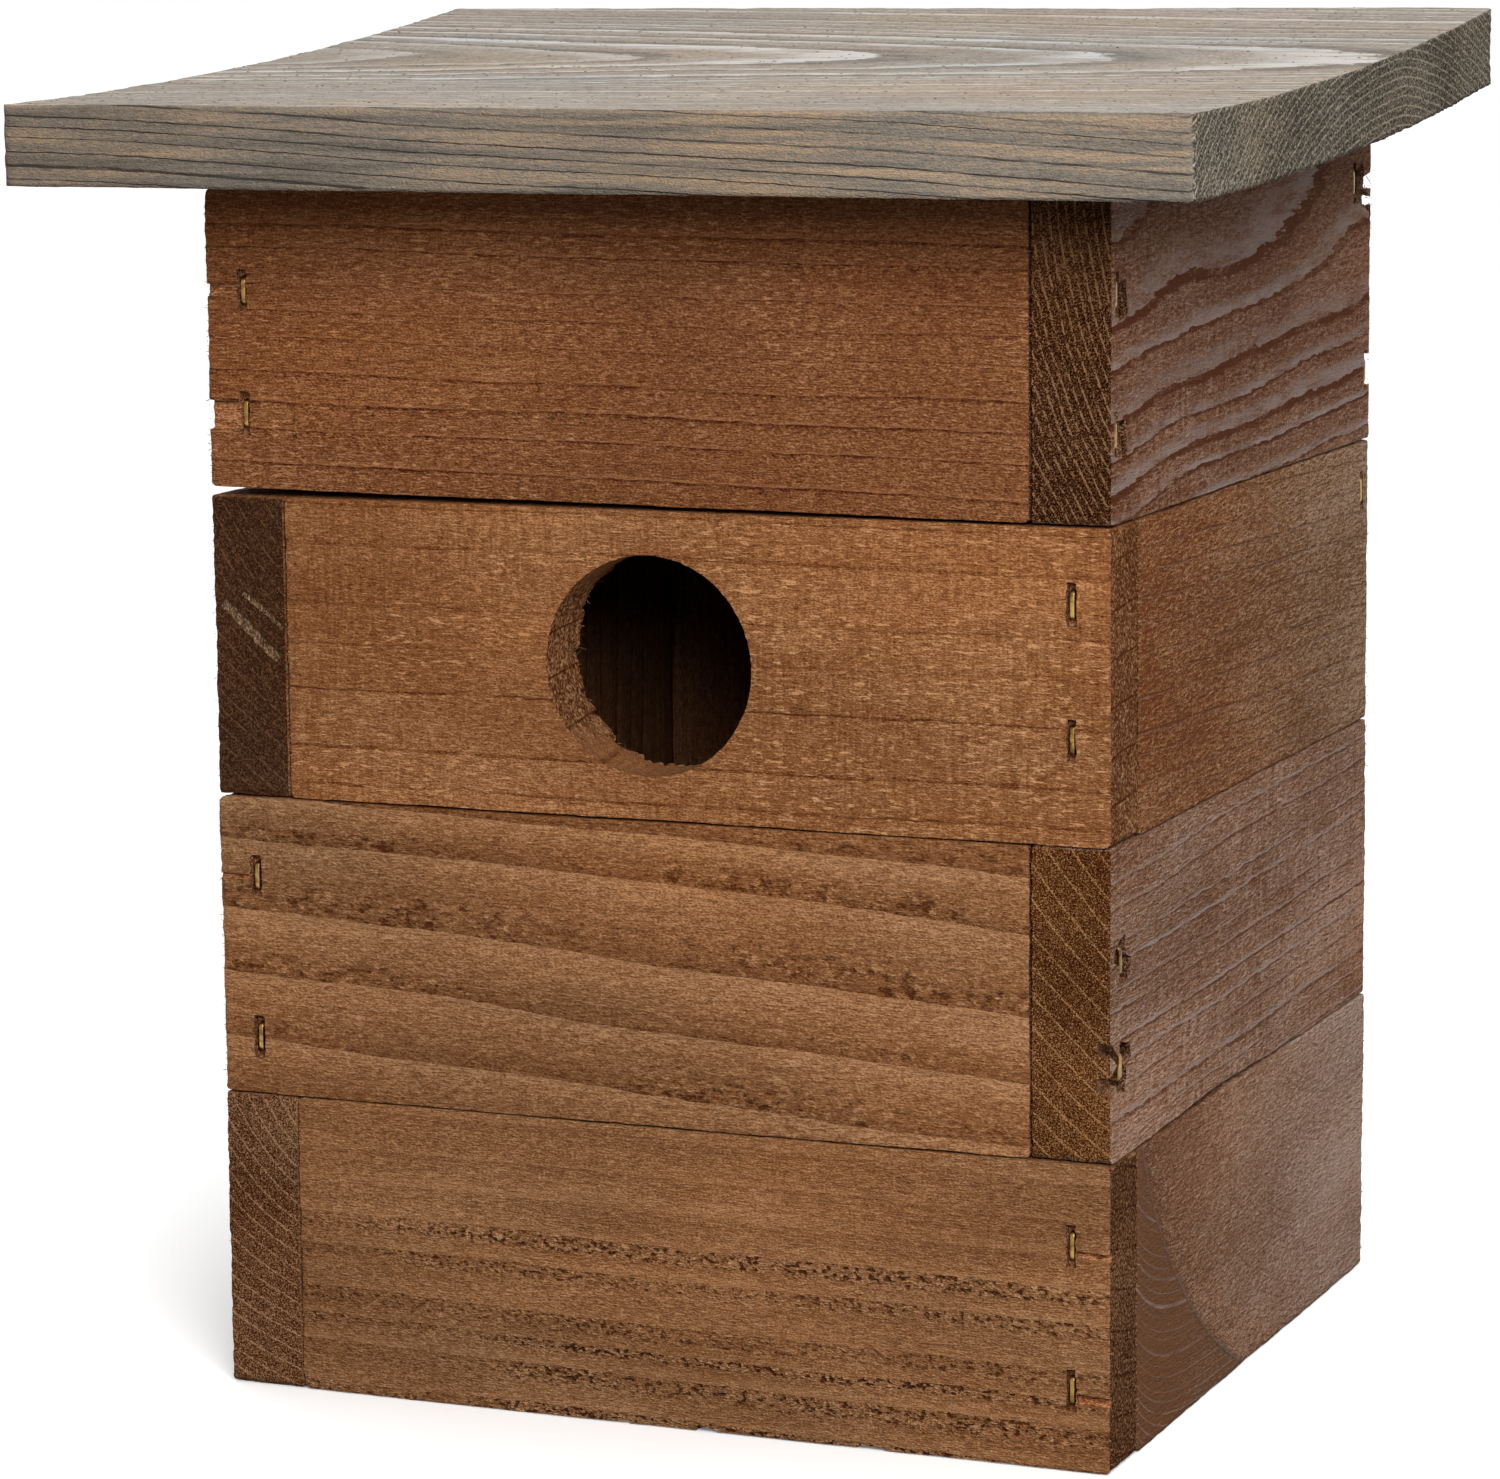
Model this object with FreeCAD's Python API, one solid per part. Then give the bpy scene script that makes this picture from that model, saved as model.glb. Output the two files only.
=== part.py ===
import FreeCAD, Part
import math
import os

# Bird nest box: four courses of sawn boards lapped at the corners, a one-piece back,
# a drained floor, two tie battens and a cupped roof board hinged at the rear.
# Millimetres, +Z up, front towards -Y, origin at the centre of the base.

Vec = FreeCAD.Vector
LEFT = Vec(-1, 0, 0)
RIGHT = Vec(1, 0, 0)
FORWARD = Vec(0, -1, 0)
BACKWARD = Vec(0, 1, 0)
UP = Vec(0, 0, 1)

# Box
box_width = 140.0
box_depth = 128.0
wall_thickness = 12.0
course_height = 45.0
course_count = 4
back_thickness = 12.0
batten_width = 45.0
batten_thickness = 12.0
batten_top_drop = 8.0

# Entrance hole, centred in the course below the top one
hole_diameter = 32.0

# Floor
floor_thickness = 12.0
floor_clearance = 0.4
drain_corner = 12.0

# Roof: a wide board, cupped hollow side up, rising towards the rear
roof_thickness = 12.0
roof_overhang_front = 24.0
roof_overhang_side = 19.5
roof_front_lift = 1.0
roof_rise = 10.0
roof_cup = 1.9
roof_gap = 0.3

# Staples
staple_crown = 4.5
staple_wire_width = 0.9
staple_wire_thickness = 0.7
staple_leg = 20.0
staple_sink = 0.2
batten_staple_pitch = 24.0
floor_staple_inset = 23.0

# Corner staples, driven by hand and so at different heights in each course. The front ones go
# through the lapping front board, the side ones through the lapping side board. A low staple is
# measured from the bottom edge of its course, a high one from the top edge, and an inset from
# the front face.
course_1_front_low = 11.8
course_1_front_high = 12.2
course_2_front_low = 8.6
course_2_front_high = 12.0
course_3_front_low = 15.0
course_3_front_high = 11.0
course_4_front_low = 12.0
course_4_front_high = 15.0
course_2_side_low = 13.3
course_2_side_high = 16.6
course_2_side_inset = 4.8
course_4_side_low = 12.6
course_4_side_high = 13.0
course_4_side_inset = 2.4
other_side_low = 12.5
other_side_high = 12.5
other_side_inset = 5.0

# Staples through the side boards into the back, measured from the top course's lower edge, from
# the hole course's upper edge, and from the rear face
top_rear_low = 11.0
top_rear_low_inset = 2.5
top_rear_high = 41.0
top_rear_high_inset = 9.4
hole_rear_high = 8.0
hole_rear_high_inset = 3.8

# Hinges
hinge_inset = 4.0
hinge_length = 25.0
hinge_leaf_width = 10.0
hinge_leaf_thickness = 1.0
hinge_knuckle_radius = 2.0
hinge_stand_off = 0.3
hinge_play = 0.2
hinge_relief = 0.3
hinge_pin_radius = 0.9
hinge_pin_clearance = 0.05
hinge_pin_head_radius = 1.5
hinge_pin_head_thickness = 0.6
hinge_screw_spacing = 14.0
hinge_screw_offset = 6.0

# Small screws of the hinges and the hanger
small_screw_radius = 1.25
small_screw_head_radius = 2.3
small_screw_length = 10.0

# Floor screws
floor_screw_radius = 1.75
floor_screw_head_radius = 3.4
floor_screw_length = 30.0

# All screws
screw_clearance = 0.05
screw_sink = 0.1
screw_slot_width = 0.7
screw_slot_depth = 0.6
screw_point_length = 2.0

# Hanger plate with a keyhole, over a pocket in the back board
hanger_drop = 20.0
hanger_length = 56.0
hanger_width = 18.0
hanger_thickness = 1.5
hanger_screw_spacing = 44.0
keyhole_entry_radius = 4.5
keyhole_slot_radius = 2.25
keyhole_slot_rise = 10.0
keyhole_drop = 5.0
hanger_pocket_radius = 7.0
hanger_pocket_depth = 6.0

# Places that follow from the sizes
right_x = box_width / 2
inner_x = right_x - wall_thickness
front_y = -box_depth / 2
back_y = box_depth / 2
inner_front_y = front_y + wall_thickness
inner_back_y = back_y - back_thickness
batten_x = inner_x - batten_thickness
batten_mid_x = inner_x - batten_thickness / 2
batten_front_y = inner_back_y - batten_width
batten_mid_y = inner_back_y - batten_width / 2
hole_course = course_count - 1
walls_top_z = course_count * course_height
hanger_height = walls_top_z - hanger_drop
roof_front_y = front_y - roof_overhang_front
roof_half_width = right_x + roof_overhang_side
roof_low_z = walls_top_z + roof_front_lift
roof_rear_z = roof_low_z + roof_rise
hinge_centre_x = inner_x - hinge_inset - hinge_length / 2
hinge_y = back_y + hinge_stand_off + hinge_knuckle_radius
hinge_z = roof_rear_z - roof_gap / 2

# Centre and radius of the cupped roof's underside, in the YZ plane
roof_chord_y = back_y - roof_front_y
roof_chord = math.hypot(roof_chord_y, roof_rise)
cup_radius = roof_chord ** 2 / (8 * roof_cup) + roof_cup / 2
cup_centre_y = (roof_front_y + back_y) / 2 - (cup_radius - roof_cup) * roof_rise / roof_chord
cup_centre_z = (roof_low_z + roof_rear_z) / 2 + (cup_radius - roof_cup) * roof_chord_y / roof_chord


def span(corner, opposite):
    """A block between two opposite corners, given in any order."""
    low = Vec(min(corner.x, opposite.x), min(corner.y, opposite.y), min(corner.z, opposite.z))
    size = Vec(abs(corner.x - opposite.x), abs(corner.y - opposite.y), abs(corner.z - opposite.z))
    return Part.makeBox(size.x, size.y, size.z, low)


def block(x0, x1, y0, y1, z0, z1):
    """A board or cut between stated limits on each axis."""
    return span(Vec(x0, y0, z0), Vec(x1, y1, z1))


def mirrored(shape):
    """The same shape on the other side of the box."""
    return shape.mirror(Vec(0, 0, 0), RIGHT)


def cup_z(y, radius):
    """Height at y of a circle about the roof's cup centre."""
    return cup_centre_z - math.sqrt(radius ** 2 - (y - cup_centre_y) ** 2)


def cup_arc(radius):
    """Arc of that circle from the roof's front to its rear."""
    points = [Vec(0, y, cup_z(y, radius)) for y in (roof_front_y, (roof_front_y + back_y) / 2, back_y)]
    return Part.Arc(*points).toShape()


def across_roof(lower_edge, upper_edge):
    """A solid as wide as the roof, between two edges that run from its front to its rear."""
    lower_start = lower_edge.valueAt(lower_edge.FirstParameter)
    lower_end = lower_edge.valueAt(lower_edge.LastParameter)
    upper_start = upper_edge.valueAt(upper_edge.FirstParameter)
    upper_end = upper_edge.valueAt(upper_edge.LastParameter)
    sides = [Part.makeLine(lower_end, upper_end), Part.makeLine(lower_start, upper_start)]
    outline = Part.Wire(Part.__sortEdges__([lower_edge, upper_edge] + sides))
    face = Part.Face(outline)
    face.translate(LEFT * roof_half_width)
    return face.extrude(RIGHT * 2 * roof_half_width)


def roof_board():
    """Cupped board with square-cut ends and edges."""
    lower_edge = cup_arc(cup_radius)
    upper_edge = cup_arc(cup_radius - roof_thickness)
    return across_roof(lower_edge, upper_edge)


def roof_room():
    """Everything above the roof's underside, lowered by the gap, for cutting boards to the slope."""
    lower_edge = cup_arc(cup_radius + roof_gap)
    top_z = roof_rear_z + course_height
    upper_edge = Part.makeLine(Vec(0, roof_front_y, top_z), Vec(0, back_y, top_z))
    return across_roof(lower_edge, upper_edge)


def front_laps_left(course):
    """Even courses have the front board over the left side board, odd ones over the right."""
    return course % 2 == 0


def course_boards(course):
    """Front, left and right boards of one course, the top course cut to the roof's slope."""
    low = (course - 1) * course_height
    high = low + course_height
    top_course = course == course_count
    side_high = roof_rear_z if top_course else high
    if front_laps_left(course):
        front = block(-right_x, inner_x, front_y, inner_front_y, low, high)
        left_start = inner_front_y
        right_start = front_y
    else:
        front = block(-inner_x, right_x, front_y, inner_front_y, low, high)
        left_start = front_y
        right_start = inner_front_y
    left = block(-right_x, -inner_x, left_start, back_y, low, side_high)
    right = block(inner_x, right_x, right_start, back_y, low, side_high)
    if course == hole_course:
        centre = Vec(0, front_y, (low + high) / 2)
        front = front.cut(Part.makeCylinder(hole_diameter / 2, wall_thickness, centre, BACKWARD))
    if top_course:
        left = left.cut(roof_room())
        right = right.cut(roof_room())
    return {"front_board": front, "left_board": left, "right_board": right}


def back_board():
    """Upright board between the side boards, with the pocket behind the hanger's keyhole."""
    board = block(-inner_x, inner_x, inner_back_y, back_y, 0, roof_rear_z)
    pocket = keyhole_shape(hanger_pocket_radius, hanger_pocket_radius, -hanger_pocket_depth, 0)
    return board.cut(roof_room()).cut(pocket)


def floor_board():
    """Floor between the walls, tight to the back, its front corners cut off to drain."""
    half = inner_x - floor_clearance
    front = inner_front_y + floor_clearance
    corners = [
        Vec(-half + drain_corner, front, 0),
        Vec(half - drain_corner, front, 0),
        Vec(half, front + drain_corner, 0),
        Vec(half, inner_back_y, 0),
        Vec(-half, inner_back_y, 0),
        Vec(-half, front + drain_corner, 0),
    ]
    outline = Part.makePolygon(corners + corners[:1])
    return Part.Face(outline).extrude(UP * floor_thickness)


def right_batten():
    """Lath flat against the right wall, standing on the floor against the back."""
    top = walls_top_z - batten_top_drop
    return block(batten_x, inner_x, batten_front_y, inner_back_y, floor_thickness, top)


def staple(place, top=staple_sink):
    """Wire staple: its crown lies along one direction, its legs are driven along another.

    With top at 0 it is the pocket that the staple leaves, open to the face."""
    point, into, along = place
    across = into.cross(along) * (staple_wire_width / 2)
    half_crown = along * (staple_crown / 2)
    half_gap = along * (staple_crown / 2 - staple_wire_thickness)
    crown_top = point + into * top
    crown_bottom = point + into * (staple_sink + staple_wire_thickness)
    tip = point + into * (staple_sink + staple_leg)
    shape = span(crown_top - half_crown - across, crown_bottom + half_crown + across)
    for sign in (-1, 1):
        leg = span(crown_top + half_gap * sign - across, tip + half_crown * sign + across)
        shape = shape.fuse(leg)
    return shape.removeSplitter()


def front_staple_heights(course):
    """Heights above the base of the two staples in a course's front face."""
    lows = (course_1_front_low, course_2_front_low, course_3_front_low, course_4_front_low)
    highs = (course_1_front_high, course_2_front_high, course_3_front_high, course_4_front_high)
    low = (course - 1) * course_height
    return low + lows[course - 1], low + course_height - highs[course - 1]


def side_staple_points(course):
    """Distance from the front and heights above the base of the two staples in a course's side face."""
    lows = (other_side_low, course_2_side_low, other_side_low, course_4_side_low)
    highs = (other_side_high, course_2_side_high, other_side_high, course_4_side_high)
    insets = (other_side_inset, course_2_side_inset, other_side_inset, course_4_side_inset)
    low = (course - 1) * course_height
    y = front_y + insets[course - 1]
    return (y, low + lows[course - 1]), (y, low + course_height - highs[course - 1])


def rear_staple_points(course):
    """Distance from the front and heights of a course's staples into the back, the same on both sides."""
    if course == course_count:
        low = (course - 1) * course_height
        return (
            (back_y - top_rear_low_inset, low + top_rear_low),
            (back_y - top_rear_high_inset, low + top_rear_high),
        )
    if course == hole_course:
        return ((back_y - hole_rear_high_inset, course * course_height - hole_rear_high),)
    return ()


def course_staples(course):
    """Places of one course's staples: front corners, then the rear edges of its side boards."""
    lap = -1 if front_laps_left(course) else 1
    places = []
    for z in front_staple_heights(course):
        x = lap * (right_x - wall_thickness / 2)
        places.append((Vec(x, front_y, z), BACKWARD, UP))
    for y, z in side_staple_points(course):
        places.append((Vec(-lap * right_x, y, z), RIGHT * lap, UP))
    for y, z in rear_staple_points(course):
        for side in (LEFT, RIGHT):
            places.append((side * right_x + Vec(0, y, z), -side, UP))
    return places


def batten_staples(side):
    """Places of the staples through one batten into each course's side board."""
    places = []
    for course in range(1, course_count + 1):
        z = (course - 0.5) * course_height
        for step in (-0.5, 0.5):
            point = side * batten_x + Vec(0, batten_mid_y + step * batten_staple_pitch, z)
            places.append((point, side, UP))
    return places


def floor_staples():
    """Places of the staples through the back into the floor's rear edge."""
    reach = inner_x - floor_staple_inset
    return [(Vec(x, back_y, floor_thickness / 2), FORWARD, RIGHT) for x in (-reach, 0, reach)]


def screw_body(place, length, radius, head_radius):
    """Countersunk screw, its head sunk a little below the face, without its slot."""
    point, into = place
    head_height = head_radius - radius
    shank_length = length - head_height - screw_point_length
    start = point + into * screw_sink
    neck = start + into * head_height
    tip = neck + into * shank_length
    shape = Part.makeCone(head_radius, radius, head_height, start, into)
    shape = shape.fuse(Part.makeCylinder(radius, shank_length, neck, into))
    shape = shape.fuse(Part.makeCone(radius, radius / 4, screw_point_length, tip, into))
    return shape.removeSplitter()


def screw_hole(place, length, radius, head_radius):
    """Countersunk mouth and pilot hole that clear the screw all round."""
    point, into = place
    mouth_radius = head_radius + screw_clearance
    pilot_radius = radius + screw_clearance
    cone_height = mouth_radius - pilot_radius
    seat = point + into * screw_sink
    neck = seat + into * cone_height
    shape = Part.makeCylinder(mouth_radius, screw_sink, point, into)
    shape = shape.fuse(Part.makeCone(mouth_radius, pilot_radius, cone_height, seat, into))
    shape = shape.fuse(Part.makeCylinder(pilot_radius, length - cone_height + screw_clearance, neck, into))
    return shape.removeSplitter()


def screw(place, length, radius, head_radius):
    """Countersunk screw with a straight slot."""
    point, into = place
    along = RIGHT * head_radius
    across = into.cross(RIGHT) * (screw_slot_width / 2)
    depth = into * (screw_sink + screw_slot_depth)
    slot = span(point - along - across, point + along + across + depth)
    return screw_body(place, length, radius, head_radius).cut(slot)


small_screw_sizes = (small_screw_length, small_screw_radius, small_screw_head_radius)
floor_screw_sizes = (floor_screw_length, floor_screw_radius, floor_screw_head_radius)


def small_screw(place):
    """Screw of a hinge leaf or of the hanger plate."""
    return screw(place, *small_screw_sizes)


def small_screw_hole(place):
    """Countersunk hole for a small screw, with its pilot."""
    return screw_hole(place, *small_screw_sizes)


def floor_screw(place):
    """Screw through the floor into a batten."""
    return screw(place, *floor_screw_sizes)


def floor_screw_hole(place):
    """Countersunk hole for a floor screw, with its pilot."""
    return screw_hole(place, *floor_screw_sizes)


def floor_screw_places():
    """One screw up through the floor into the foot of each batten."""
    return [(side * batten_mid_x + Vec(0, batten_mid_y, 0), UP) for side in (LEFT, RIGHT)]


def hinge_screw_places(centre_x, side):
    """The two screws of one leaf; side is 1 on the roof's rear edge and -1 on the back."""
    face_y = back_y + hinge_leaf_thickness
    z = hinge_z + side * hinge_screw_offset
    steps = (-hinge_screw_spacing / 2, hinge_screw_spacing / 2)
    return [(Vec(centre_x + step, face_y, z), FORWARD) for step in steps]


def hinge_bar(x0, x1, radius):
    """Round bar on the hinge axis."""
    return Part.makeCylinder(radius, x1 - x0, Vec(x0, hinge_y, hinge_z), RIGHT)


def hinge_leaf(centre_x, side):
    """One leaf: the roof's has the middle knuckle, the back's the two outer ones."""
    start = centre_x - hinge_length / 2
    end = centre_x + hinge_length / 2
    middle_start = centre_x - hinge_length / 6
    middle_end = centre_x + hinge_length / 6
    face_y = back_y + hinge_leaf_thickness
    plate = block(start, end, back_y, face_y, hinge_z, hinge_z + side * hinge_leaf_width)
    room_z = hinge_z + side * (hinge_knuckle_radius + hinge_relief)
    half_play = hinge_play / 2
    if side > 0:
        own = ((middle_start + half_play, middle_end - half_play),)
        other = ((start, middle_start + half_play), (middle_end - half_play, end))
    else:
        own = ((start, middle_start - half_play), (middle_end + half_play, end))
        other = ((middle_start - half_play, middle_end + half_play),)
    for x0, x1 in other:
        plate = plate.cut(block(x0, x1, back_y, face_y, hinge_z, room_z))
    for x0, x1 in own:
        plate = plate.fuse(hinge_bar(x0, x1, hinge_knuckle_radius))
    plate = plate.cut(hinge_bar(start, end, hinge_pin_radius + hinge_pin_clearance))
    for place in hinge_screw_places(centre_x, side):
        plate = plate.cut(small_screw_hole(place))
    return plate.removeSplitter()


def hinge_pin(centre_x):
    """Pin with a peened head at each end of the knuckles."""
    start = centre_x - hinge_length / 2
    end = centre_x + hinge_length / 2
    pin = hinge_bar(start, end, hinge_pin_radius)
    pin = pin.fuse(hinge_bar(start - hinge_pin_head_thickness, start, hinge_pin_head_radius))
    pin = pin.fuse(hinge_bar(end, end + hinge_pin_head_thickness, hinge_pin_head_radius))
    return pin.removeSplitter()


def upright_obround(z0, z1, radius, y0, y1):
    """Round-ended upright bar between two end centres, from y0 to y1 behind the back's face."""
    shape = block(-radius, radius, back_y + y0, back_y + y1, z0, z1)
    for z in (z0, z1):
        shape = shape.fuse(Part.makeCylinder(radius, y1 - y0, Vec(0, back_y + y0, z), BACKWARD))
    return shape.removeSplitter()


def keyhole_shape(entry_radius, slot_radius, y0, y1):
    """Keyhole: a round entry with a slot rising from it."""
    entry_z = hanger_height - keyhole_drop
    slot = upright_obround(entry_z, entry_z + keyhole_slot_rise, slot_radius, y0, y1)
    entry = Part.makeCylinder(entry_radius, y1 - y0, Vec(0, back_y + y0, entry_z), BACKWARD)
    return slot.fuse(entry).removeSplitter()


def hanger_screw_places():
    """A screw above and one below the keyhole."""
    face_y = back_y + hanger_thickness
    steps = (-hanger_screw_spacing / 2, hanger_screw_spacing / 2)
    return [(Vec(0, face_y, hanger_height + step), FORWARD) for step in steps]


def hanger_plate():
    """Round-ended plate with the keyhole and its two screw holes."""
    reach = hanger_length / 2 - hanger_width / 2
    low = hanger_height - reach
    high = hanger_height + reach
    plate = upright_obround(low, high, hanger_width / 2, 0, hanger_thickness)
    plate = plate.cut(keyhole_shape(keyhole_entry_radius, keyhole_slot_radius, 0, hanger_thickness))
    for place in hanger_screw_places():
        plate = plate.cut(small_screw_hole(place))
    return plate


def wooden_boards():
    """Every board of the box and its roof, by name, before any fastener is driven."""
    boards = {"roof_board": roof_board()}
    for course in range(1, course_count + 1):
        for name, board in course_boards(course).items():
            boards["course_%d_%s" % (course, name)] = board
    boards["back_board"] = back_board()
    boards["floor_board"] = floor_board()
    boards["right_batten"] = right_batten()
    boards["left_batten"] = mirrored(boards["right_batten"])
    return boards


def staple_groups():
    """Places of every staple, by the name of its group."""
    groups = {}
    for course in range(1, course_count + 1):
        groups["course_%d_staples" % course] = course_staples(course)
    groups["left_batten_staples"] = batten_staples(LEFT)
    groups["right_batten_staples"] = batten_staples(RIGHT)
    groups["floor_staples"] = floor_staples()
    return groups


def drive_into(boards, hole):
    """Cut a fastener's hole in each board that it reaches."""
    for name, board in boards.items():
        if board.BoundBox.intersect(hole.BoundBox):
            boards[name] = board.cut(hole)


def all_pieces():
    """Every named piece of the nest box."""
    pieces = wooden_boards()
    hinge_centres = {"left": -hinge_centre_x, "right": hinge_centre_x}
    hinge_box_places = []
    hinge_roof_places = []
    for centre_x in hinge_centres.values():
        hinge_box_places += hinge_screw_places(centre_x, -1)
        hinge_roof_places += hinge_screw_places(centre_x, 1)
    groups = staple_groups()
    for places in groups.values():
        for place in places:
            drive_into(pieces, staple(place, 0))
    for place in hinge_box_places + hinge_roof_places + hanger_screw_places():
        drive_into(pieces, small_screw_hole(place))
    for place in floor_screw_places():
        drive_into(pieces, floor_screw_hole(place))
    for name, places in groups.items():
        pieces[name] = Part.makeCompound([staple(place) for place in places])
    for name, centre_x in hinge_centres.items():
        pieces["%s_hinge_box_leaf" % name] = hinge_leaf(centre_x, -1)
        pieces["%s_hinge_roof_leaf" % name] = hinge_leaf(centre_x, 1)
        pieces["%s_hinge_pin" % name] = hinge_pin(centre_x)
    pieces["hinge_box_screws"] = Part.makeCompound([small_screw(place) for place in hinge_box_places])
    pieces["hinge_roof_screws"] = Part.makeCompound([small_screw(place) for place in hinge_roof_places])
    pieces["floor_screws"] = Part.makeCompound([floor_screw(place) for place in floor_screw_places()])
    pieces["hanger_plate"] = hanger_plate()
    pieces["hanger_screws"] = Part.makeCompound([small_screw(place) for place in hanger_screw_places()])
    return pieces


os.makedirs("parts", exist_ok=True)
for piece_name, piece in all_pieces().items():
    print("%-24s solids %d  valid %s  volume %.1f mm3" % (
        piece_name, len(piece.Solids), piece.isValid(), piece.Volume))
    piece.exportStep("parts/%s.step" % piece_name)
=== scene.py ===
# %% [markdown]
# # A nest box of sawn boards
# The real box is four courses of rough-sawn boards, stapled at lapped corners and stained brown, under
# a cupped grey roof on two hinges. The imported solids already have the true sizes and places, so this
# lesson only dresses them: each board is made again with eased, ragged edges and given its own wood.

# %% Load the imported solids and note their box
import math

import bmesh
import bpy
import numpy as np
from mathutils import Euler, Matrix, Vector, noise


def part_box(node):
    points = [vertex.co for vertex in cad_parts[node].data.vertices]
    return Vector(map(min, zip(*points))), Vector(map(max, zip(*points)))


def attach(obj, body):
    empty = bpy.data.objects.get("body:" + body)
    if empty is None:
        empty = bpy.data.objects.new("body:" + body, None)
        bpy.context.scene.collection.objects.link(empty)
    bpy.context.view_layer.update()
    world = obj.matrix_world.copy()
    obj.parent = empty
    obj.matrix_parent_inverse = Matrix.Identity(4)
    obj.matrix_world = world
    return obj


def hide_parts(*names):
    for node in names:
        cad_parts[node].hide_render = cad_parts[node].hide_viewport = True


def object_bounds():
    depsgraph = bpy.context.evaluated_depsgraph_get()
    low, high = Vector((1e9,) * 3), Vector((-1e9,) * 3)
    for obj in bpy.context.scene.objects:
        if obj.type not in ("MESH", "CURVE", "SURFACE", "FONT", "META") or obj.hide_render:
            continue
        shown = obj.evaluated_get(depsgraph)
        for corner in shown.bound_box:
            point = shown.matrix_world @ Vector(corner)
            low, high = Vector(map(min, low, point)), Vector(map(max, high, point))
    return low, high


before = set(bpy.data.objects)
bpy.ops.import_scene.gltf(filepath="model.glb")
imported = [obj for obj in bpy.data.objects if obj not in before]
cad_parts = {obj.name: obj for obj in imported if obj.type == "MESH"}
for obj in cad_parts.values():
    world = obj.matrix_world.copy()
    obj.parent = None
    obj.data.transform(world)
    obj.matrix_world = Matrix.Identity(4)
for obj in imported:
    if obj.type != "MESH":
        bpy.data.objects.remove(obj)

MM = 0.001
cad_low, cad_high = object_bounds()
print("solids loaded:", len(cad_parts), "box", [round(x, 4) for x in cad_high - cad_low])

# %% [markdown]
# ## The camera
# A camera can be aimed by eye, but here it was worked out from the corners of the box as they appear
# in the picture: a long lens, a little to the right of the box and slightly above it. The focal
# length is known in picture elements, so the lens in millimetres follows from the sensor's width.

# %% Camera
PICTURE_WIDTH = 1500
FOCAL_IN_PICTURE = 5358.4
SENSOR_WIDTH = 36.0
camera_yaw, camera_pitch, camera_roll = (math.radians(a) for a in (22.568, 9.002, -0.544))
camera_place = Vector((0.30472, -0.75919, 0.22203))


def camera_turn(yaw, pitch, roll):
    """Rotation of a camera that looks along +Y, turned to its left, tipped down and rolled."""
    ahead = Vector((-math.sin(yaw) * math.cos(pitch), math.cos(yaw) * math.cos(pitch), -math.sin(pitch)))
    level = Vector((math.cos(yaw), math.sin(yaw), 0))
    above = level.cross(ahead)
    right = level * math.cos(roll) + above * math.sin(roll)
    up = above * math.cos(roll) - level * math.sin(roll)
    return Matrix((right, up, -ahead)).transposed().to_quaternion()


lens = bpy.data.cameras.new("viewpoint")
lens.sensor_width = SENSOR_WIDTH
lens.lens = FOCAL_IN_PICTURE * SENSOR_WIDTH / PICTURE_WIDTH
lens.clip_start = 0.01
camera = bpy.data.objects.new("viewpoint", lens)
camera.location = camera_place
camera.rotation_mode = "QUATERNION"
camera.rotation_quaternion = camera_turn(camera_yaw, camera_pitch, camera_roll)
bpy.context.scene.collection.objects.link(camera)
bpy.context.scene.camera = camera
print("camera lens", round(lens.lens, 1), "mm")

# %% [markdown]
# ## Wiring nodes from a script
# Materials and Geometry Nodes are both trees of nodes. A small helper class keeps the scripts that
# build them short: every call adds one node, feeds its inputs with numbers or with other nodes'
# outputs, and hands back the output that the next node needs.

# %% A bench for wiring nodes


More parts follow.
